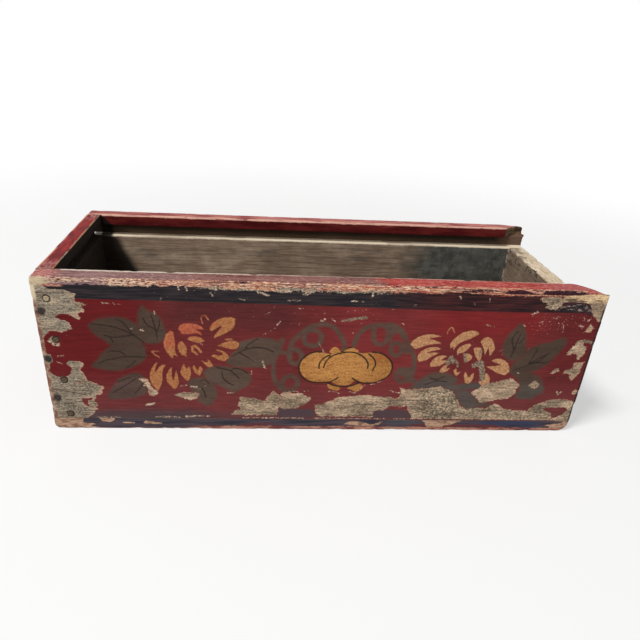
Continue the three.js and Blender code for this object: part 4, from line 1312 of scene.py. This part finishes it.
def damaged(place, x, z, face, bright, ragged, torn):
    """The face with its chips, grey scrapes, cracks and dust; where it is chipped or cracked."""
    chips = (marked(place, "chips") + torn * 3.6 + ragged * 2.6 + 0.25).ramp(0.3, -0.3)
    chipped = bright.between(srgb(142, 120, 102), srgb(218, 194, 168))
    chipped = chipped.covered(srgb(216, 174, 160), x.ramp(146, 160) * z.ramp(84, 92) * 0.7)
    face = face.covered(chipped, chips * 0.9)
    scraped = (marked(place, "scrapes") + torn * 5).ramp(0.4, -0.4)
    face = face.covered(bright.between(srgb(96, 84, 74), srgb(160, 142, 116)), scraped * 0.9)
    cracks = (marked(place, "cracks") + ragged * 0.5).ramp(0.6, 0.25)
    face = face.covered(srgb(58, 46, 38), cracks * 0.75)
    knocked = zone(x, 152, 204, 8) * zone(z, 90, 109, 4)
    knocked = knocked.most(zone(x, -122, 44, 12) * z.ramp(86, 98) * 0.35)
    dust = (place.stretched(0.6, 1, 1).noise(1.3, 2.0, 0.6) + knocked * 0.1).ramp(0.735, 0.77)
    face = face.covered(bright.between(srgb(176, 122, 108), srgb(220, 178, 164)), dust * 0.8)
    return face, chips, cracks


def rubbed_ends(place, x, z, face, bright, ragged):
    """The face with its left and right ends rubbed and its upper corners flaked."""
    left_edge = (x + ragged * 4 + 210).ramp(4.2, 2.8)
    edge_colour = place.noise(3, 4.0).ramp(0.42, 0.58).between(srgb(128, 84, 70), srgb(176, 150, 128))
    edge_colour = edge_colour.covered(srgb(228, 208, 176), z.ramp(104, 114))
    face = face.covered(edge_colour, left_edge * 0.9)
    right_edge = (x + ragged * 1.5).ramp(207.4, 208.2) * z.ramp(114, 110)
    face = face.covered(srgb(44, 32, 30), right_edge * 0.85)
    under_strip = zone(x, -203, -188, 2) * zone(z, 119.4, 122, 0.6)
    face = face.covered(bright.between(srgb(150, 88, 80), srgb(204, 150, 128)), under_strip)
    flaked = place.stretched(0.3, 1, 1).noise(1.6, 5.0, 0.7).ramp(0.55, 0.6)
    flaked = flaked * zone(x, 172, 200, 4) * zone(z, 109.5, 117.5, 1)
    face = face.covered(bright.between(srgb(132, 110, 100), srgb(206, 178, 160)), flaked * 0.9)
    over = place.stretched(0.08, 1, 1).noise(1.5, 5.0, 0.6).ramp(0.54, 0.57)
    return face.covered(srgb(48, 34, 38), over * zone(x, 176, 206, 3) * zone(z, 116, 121, 1) * 0.8)


def worn_arris(place, x, z, face, bright, ragged, torn):
    """The face with its upper arris rubbed through, and where it is."""
    hanging = zone(x, -92, 44, 8) * (z + ragged * 8 + torn * 8).ramp(120.1, 120.5)
    face = face.covered(bright.between(srgb(110, 98, 86), srgb(182, 162, 138)), hanging * 0.9)
    strip_colour, strip = worn_strip(place, x, z, ragged)
    face = face.covered(strip_colour, strip * (1 - fresh_corner(x, z)))
    streaks = shape_mask(place, "streaks", ragged * 2.6 + torn * 2)
    face = face.covered(torn.ramp(-0.1, 0.1).between(srgb(34, 22, 30), srgb(74, 40, 46)), streaks)
    under_line = zone(x, 116, 176, 5) * zone(z + ragged * 2, 121, 121.9, 0.25)
    line_colour = bright.between(srgb(170, 96, 74), srgb(226, 168, 134))
    return face.covered(line_colour, under_line * 0.85), strip


def front_board_finish():
    """The decorated face, the worn top edge and the top of the front board."""
    material, place = new_finish("front_board_paint")
    x, y, z = place.parts()
    painted = marked(place, "paint").ramp(0.4, 0.6)
    ragged = place.stretched(0.55, 1, 1).noise(1.7, 5.0, 0.7) - 0.5
    torn = place.stretched(0.6, 1, 1).noise(0.9, 4.0, 0.7) - 0.5
    bright = place.noise(1.4, 3.0).ramp(0.4, 0.6)

    wood, fibre_height = front_wood(place, x, z)
    paint = decoration(place, x, z, front_ground(place, x, z), ragged)
    patches = (0.735 - place.stretched(0.5, 1, 1).noise(6, 8.0, 0.72)) * 16
    jagged = 1 + x.ramp(-160, -130) * 0.6
    field = (marked(place, "bare") + (ragged * 2.8 + torn * 2) * jagged).least(patches)
    face, chips, cracks = damaged(place, x, z, coat(place, wood, paint, field), bright, ragged, torn)
    face = rubbed_ends(place, x, z, face, bright, ragged)
    face, strip = worn_arris(place, x, z, face, bright, ragged, torn)

    inward = y - front_low[1]
    top = front_top(place, x, inward, ragged).covered(srgb(76, 20, 22), inward.ramp(16.0, 16.4))
    on_top = (inward + ragged * 4 - x.ramp(60, 100) * 0.8).ramp(1.2, 1.9) * z.ramp(TOP - 5, TOP - 3.5)
    inside, _ = old_wood(place, ALONG_X, INNER_WOOD)
    colour = inside.covered(face.covered(top, on_top), painted)
    colour = end_grain(place, stained_by_heads(place, colour))
    kept = field.ramp(-0.2, 0.2) * painted * (1 - strip) * (1 - chips)
    height = kept * 0.2 + fibre_height * (1 - kept) - cracks * 0.3
    close_finish(colour, 0.84 - kept * 0.24, height)
    return material


dress(front, front_board_finish(), "front_board")


# The corner pegs and nails
# Bamboo pegs and hammered iron nails by turns down each corner, driven through the long
# boards into the end boards. At the open end the paint covers their heads.

HEAD_SIDES = 18
NAIL_HEAD_RADIUS = 2.6
PEG_RADIUS = 2.2
COVERED_DEPTH = 0.5
SHOWN_DEPTH = 0.12
SQUARE_SHANK = 0.72
HAMMERED_DEPTH = 0.22
HAMMERED_LUMP = 1.7


def shaft(name, head, tip, face, rings, square_from, seed):
    """A fastening from rings (radius, depth) below its face, turned towards its tip."""
    turn = np.linspace(0, 2 * np.pi, HEAD_SIDES, endpoint=False)
    first = np.cross(face, [0.37, 0.21, 0.9] if abs(face[2]) < 0.5 else [1, 0, 0])
    first = first / np.linalg.norm(first)
    second = np.cross(face, first)
    squareness = 1 / np.maximum(np.abs(np.cos(turn)), np.abs(np.sin(turn)))
    reach = np.linalg.norm(tip - head)
    points = []
    for i, (radius, depth) in enumerate(rings):
        middle = head + (tip - head) * depth / reach if i >= square_from else head + face * depth
        grow = radius * (squareness * SQUARE_SHANK if i >= square_from and "nail" in name else 1)
        spokes = np.outer(np.cos(turn) * grow, first) + np.outer(np.sin(turn) * grow, second)
        points.append(middle + spokes)
    points = np.concatenate(points)
    piece = new_piece(name, points, tube_faces(len(rings), HEAD_SIDES))
    press_in(piece, HAMMERED_DEPTH * unevenness(points + seed, HAMMERED_LUMP, seed))
    return piece


def iron_finish():
    """Old iron, brown-black with rust and worn bright in places."""
    material, place = new_finish("rusted_iron")
    crust = place.noise(0.9, 4.0)
    colour = crust.ramp(0.42, 0.62).between(srgb(30, 27, 31), srgb(66, 52, 48))
    close_finish(colour, 0.85 - crust * 0.3, crust * 0.3, 0.3)
    return material


def peg_finish():
    """Split bamboo seen on end, grimed brown low down and pale near the top."""
    material, place = new_finish("bamboo")
    fibres = place.stretched(1, 0.05, 1).noise(0.55, 2.0).ramp(0.38, 0.56)
    grimed = fibres.between(srgb(62, 50, 43), srgb(112, 94, 76))
    clean = fibres.between(srgb(116, 98, 74), srgb(204, 186, 154))
    colour = place.part(2).ramp(90, 104).between(grimed, clean)
    close_finish(colour, 0.75, fibres * 0.2)
    return material


iron = iron_finish()
bamboo = peg_finish()


def drive(name, axis, face):
    """Sets one nail or peg where the frame has it."""
    head, tip = ends_of(name, axis)
    depth = COVERED_DEPTH if name in covered_over else SHOWN_DEPTH
    face = np.array(face, float)
    reach = np.linalg.norm(tip - head)
    is_nail = "_nail_" in name
    if is_nail:
        rings = [(0.5, depth), (1.6, depth), (2.3, depth + 0.15), (NAIL_HEAD_RADIUS, depth + 0.5),
                 (2.3, depth + 1.1), (1.3, depth + 1.5), (1.3, depth + 2.5), (0.5, reach - 0.2)]
    else:
        rings = [(0.6, depth + 0.1), (1.4, depth), (PEG_RADIUS - 0.25, depth),
                 (PEG_RADIUS, depth + 0.3), (1.6, reach - 0.6), (1.0, reach - 0.1)]
    square_from = 5 if is_nail else 4
    seed = 100 + sorted(fastenings).index(name)
    piece = shaft("set_" + name, head, tip, face, rings, square_from, seed)
    give_finish(piece, iron if is_nail else bamboo)
    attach(piece, "root")
    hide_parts(name)


for name in corner_fastenings:
    drive(name, 1, (0, 1, 0) if name.startswith("front") else (0, -1, 0))


# The bottom
# One board under all four walls, its edges painted dark blue over the red, its corners
# knocked round, the paint on its lower edge rubbed off. Bare and brown underneath.

FOOT_EDGE_WEAR = 1.2
FOOT_CLOSED_CORNER = 4
FOOT_OPEN_CORNER = 8.5
LEAST_EDGE = 1.2
BLUE_LOST = [
    [(-2, 11), (24, 11), (22.5, 8), (21.5, 6.2), (24, 5.5), (29, 5.3), (33, 4.2), (27, 3.4),
     (30, 1.8), (34, 1), (34, -1), (-2, -1)],
    [(35, 10.4), (37, 7.2), (43, 6.4), (46.5, 8), (47, 10.4)],
    [(52, 6.2), (53.5, 5.4), (62, 5.2), (62.5, 6.2), (58, 6.9)],
    [(68, 5.2), (70.5, 7.7), (76, 6.7), (83, 6), (83.5, 4.6), (76, 4.8)],
    [(228, 6), (234, 8.3), (240, 8.4), (246, 7.2), (253, 5.2), (256, 6.8), (262, 9.6), (258, 4.8),
     (246, 4.2), (236, 4.4)],
    [(292, 11), (296, 7.5), (298.5, 3), (313, 2.6), (312, 4.8), (318, 5.4), (323, 8), (327, 9.6),
     (322, 11)],
    [(404, 4.2), (399, 6), (408, 7.4), (414, 8.6), (415, 11), (421, 11), (421, -1), (404, -1)],
]

low, high = box_mm("bottom_board")
places = stations(low[0], high[0], 1.5)
from_closed = np.clip(FOOT_CLOSED_CORNER - (places - low[0]), 0, FOOT_CLOSED_CORNER)
from_open = np.clip(FOOT_OPEN_CORNER - (high[0] - places), 0, FOOT_OPEN_CORNER)
lifted = FOOT_CLOSED_CORNER - np.sqrt(FOOT_CLOSED_CORNER**2 - from_closed**2)
lifted = lifted + FOOT_OPEN_CORNER - np.sqrt(FOOT_OPEN_CORNER**2 - from_open**2)
drawn_in = end_rounding(places, END_RADIUS)
same = np.ones(len(places))
across = np.stack([low[1] + drawn_in, high[1] - drawn_in, high[1] - drawn_in, low[1] + drawn_in], 1)
up = np.stack([np.minimum(lifted, high[2] - LEAST_EDGE)] * 2 + [high[2] * same] * 2, 1)
bottom, bottom_edge = board(
    "bottom", True, places, np.stack([across, up], 2),
    roundings=[FOOT_EDGE_WEAR, FOOT_EDGE_WEAR, JOINT_ARRIS, JOINT_ARRIS],
    spacings=[3, 0.9, 4, 0.9],
    painted=[0, 1, 0, 1],
    exposed=[True, True, False, False],
)
spots = places_of(bottom)
on_face = np.stack([spots[:, 0] - low[0], spots[:, 2]], 1)
mark(bottom, "bare", distance_field(on_face, BLUE_LOST))
handle_wear(bottom, bottom_edge, seed=71)
seat_fastenings(bottom, bottom_nails, 2)


def bottom_finish():
    """Dark blue edge, salmon where it is rubbed; brown grimy wood above and below."""
    material, place = new_finish("bottom_paint")
    x, y, z = place.parts()
    painted = marked(place, "paint").ramp(0.4, 0.6)
    ragged = place.stretched(0.4, 1, 1).noise(1.8, 5.0, 0.7) - 0.5
    wood, fibre_height = old_wood(place, ALONG_X, INNER_WOOD)
    rubbed_wood = place.stretched(0.3, 1, 1).noise(1.6, 5.0, 0.7).ramp(0.38, 0.6)
    tan = rubbed_wood.between(srgb(128, 96, 78), srgb(186, 152, 126))
    streaks = place.stretched(0.06, 1, 1).noise(1.8, 4.0)
    blue = streaks.ramp(0.38, 0.6).between(srgb(50, 48, 58), srgb(80, 68, 74))
    blue = blue.covered(srgb(54, 60, 84), zone(x, 132, 184, 8) * streaks.ramp(0.4, 0.5) * 0.9)
    blue = blue.covered(srgb(72, 76, 84), zone(x, 52, 78, 8) * 0.6)
    worn_red = place.stretched(0.15, 1, 1).noise(9, 5.0).ramp(0.52, 0.58)
    blue = blue.covered(srgb(96, 48, 50), worn_red * x.ramp(-100, -60) * z.ramp(7, 5))
    reach = place.stretched(0.12, 1, 1).noise(11, 5.0)
    lower = (z + ragged * 4 - reach * 5).ramp(1.2, 0.4) * x.ramp(-112, -96)
    lower = lower.most((z + ragged * 3).ramp(1.4, 0.8))
    salmon = place.stretched(0.2, 1, 1).noise(4, 5.0, 0.7).ramp(0.42, 0.56)
    rubbed = salmon.between(srgb(110, 58, 56), srgb(178, 126, 106))
    in_front = y.ramp(0, -1)
    general = (0.66 - place.stretched(0.4, 1, 1).noise(20, 8.0, 0.62)) * 40
    field = (marked(place, "bare") + ragged * 2.4) * in_front + general * (1 - in_front)
    edge_colour = coat(place, tan, blue, field).covered(rubbed, lower)
    colour = wood.covered(edge_colour, painted)
    colour = stained_by_heads(place, colour)
    kept = field.ramp(-0.2, 0.2) * painted * (1 - lower)
    close_finish(colour, 0.85 - kept * 0.24, kept * 0.15 + fibre_height * (1 - kept))
    return material


dress(bottom, bottom_finish(), "bottom_board")
for name in bottom_nails:
    drive(name, 2, (0, 0, 1))


# Floor, lamps and camera
# A wide pale floor under the box that fades out far from it, one soft lamp high at its
# closed end, a weak one in front, and a camera in front, a little above the box's rim.

FLOOR_HALF = 3.0
FLOOR_FULL = 400
FLOOR_GONE = 1150
FLOOR_WHITENING = 0.5
SOFT_LIGHT = 0.26
WHITE = (1, 1, 1, 1)


def in_view(value):
    """1 for rays that show the surroundings: straight, mirrored or through glass."""
    seen = value.node("LightPath", {}, {}, "Is Camera Ray")
    for ray in ["Is Glossy Ray", "Is Transmission Ray"]:
        seen = seen.most(value.node("LightPath", {}, {}, ray))
    return seen


mesh = bpy.data.meshes.new("floor")
corners = [(x, y, 0) for x, y in [(-1, -1), (1, -1), (1, 1), (-1, 1)]]
mesh.from_pydata((np.array(corners) * FLOOR_HALF).tolist(), [], [(0, 1, 2, 3)])
floor = bpy.data.objects.new("floor", mesh)
bpy.context.scene.collection.objects.link(floor)
material, place = new_finish("pale_floor")
distance = place.node("VectorMath", {"operation": "LENGTH"}, {0: place}, 1)
shade = place.noise(800).between(srgb(240, 240, 239), srgb(244, 244, 243))
sockets = {"Base Color": shade, "Roughness": 0.9, "Specular IOR Level": 0.1}
sockets["Alpha"] = distance.ramp(FLOOR_GONE, FLOOR_FULL)
surface = place.node("BsdfPrincipled", {}, sockets)
white = place.node("Emission", {}, {"Color": WHITE, "Strength": 1.0})
sockets = {0: in_view(place) * FLOOR_WHITENING, 1: surface, 2: white}
place.node("OutputMaterial", {}, {"Surface": place.node("MixShader", {}, sockets)})
material.cycles.emission_sampling = "NONE"
give_finish(floor, material)

world = bpy.data.worlds.new("studio")
bpy.context.scene.world = world
world.use_nodes = True
world.node_tree.nodes.clear()
sky = Value(world.node_tree)
strength = in_view(sky) * (1 - SOFT_LIGHT) + SOFT_LIGHT
backdrop = sky.node("Background", {}, {"Color": WHITE, "Strength": strength})
sky.node("OutputWorld", {}, {"Surface": backdrop})


def lamp(name, place, size, watts):
    """A square soft lamp aimed at the box."""
    light = bpy.data.lights.new(name, "AREA")
    light.size = size
    light.energy = watts
    holder = bpy.data.objects.new(name, light)
    holder.location = place
    holder.rotation_euler = (-holder.location).to_track_quat("-Z", "Y").to_euler()
    bpy.context.scene.collection.objects.link(holder)


lamp("key", (-1.68, -1.30, 3.40), size=1.0, watts=135)
lamp("fill", (0.9, -3.6, 0.6), size=2.0, watts=14)

camera_data = bpy.data.cameras.new("camera")
camera_data.lens = 33.65
camera_data.shift_x = 0.0232
camera_data.shift_y = 0.0929
camera = bpy.data.objects.new("camera", camera_data)
camera.location = (-0.0527, -0.4894, 0.2795)
camera.rotation_euler = np.radians([59.993, -2.980, -3.708])
bpy.context.scene.collection.objects.link(camera)
bpy.context.scene.camera = camera
bpy.context.scene.view_settings.view_transform = "Standard"
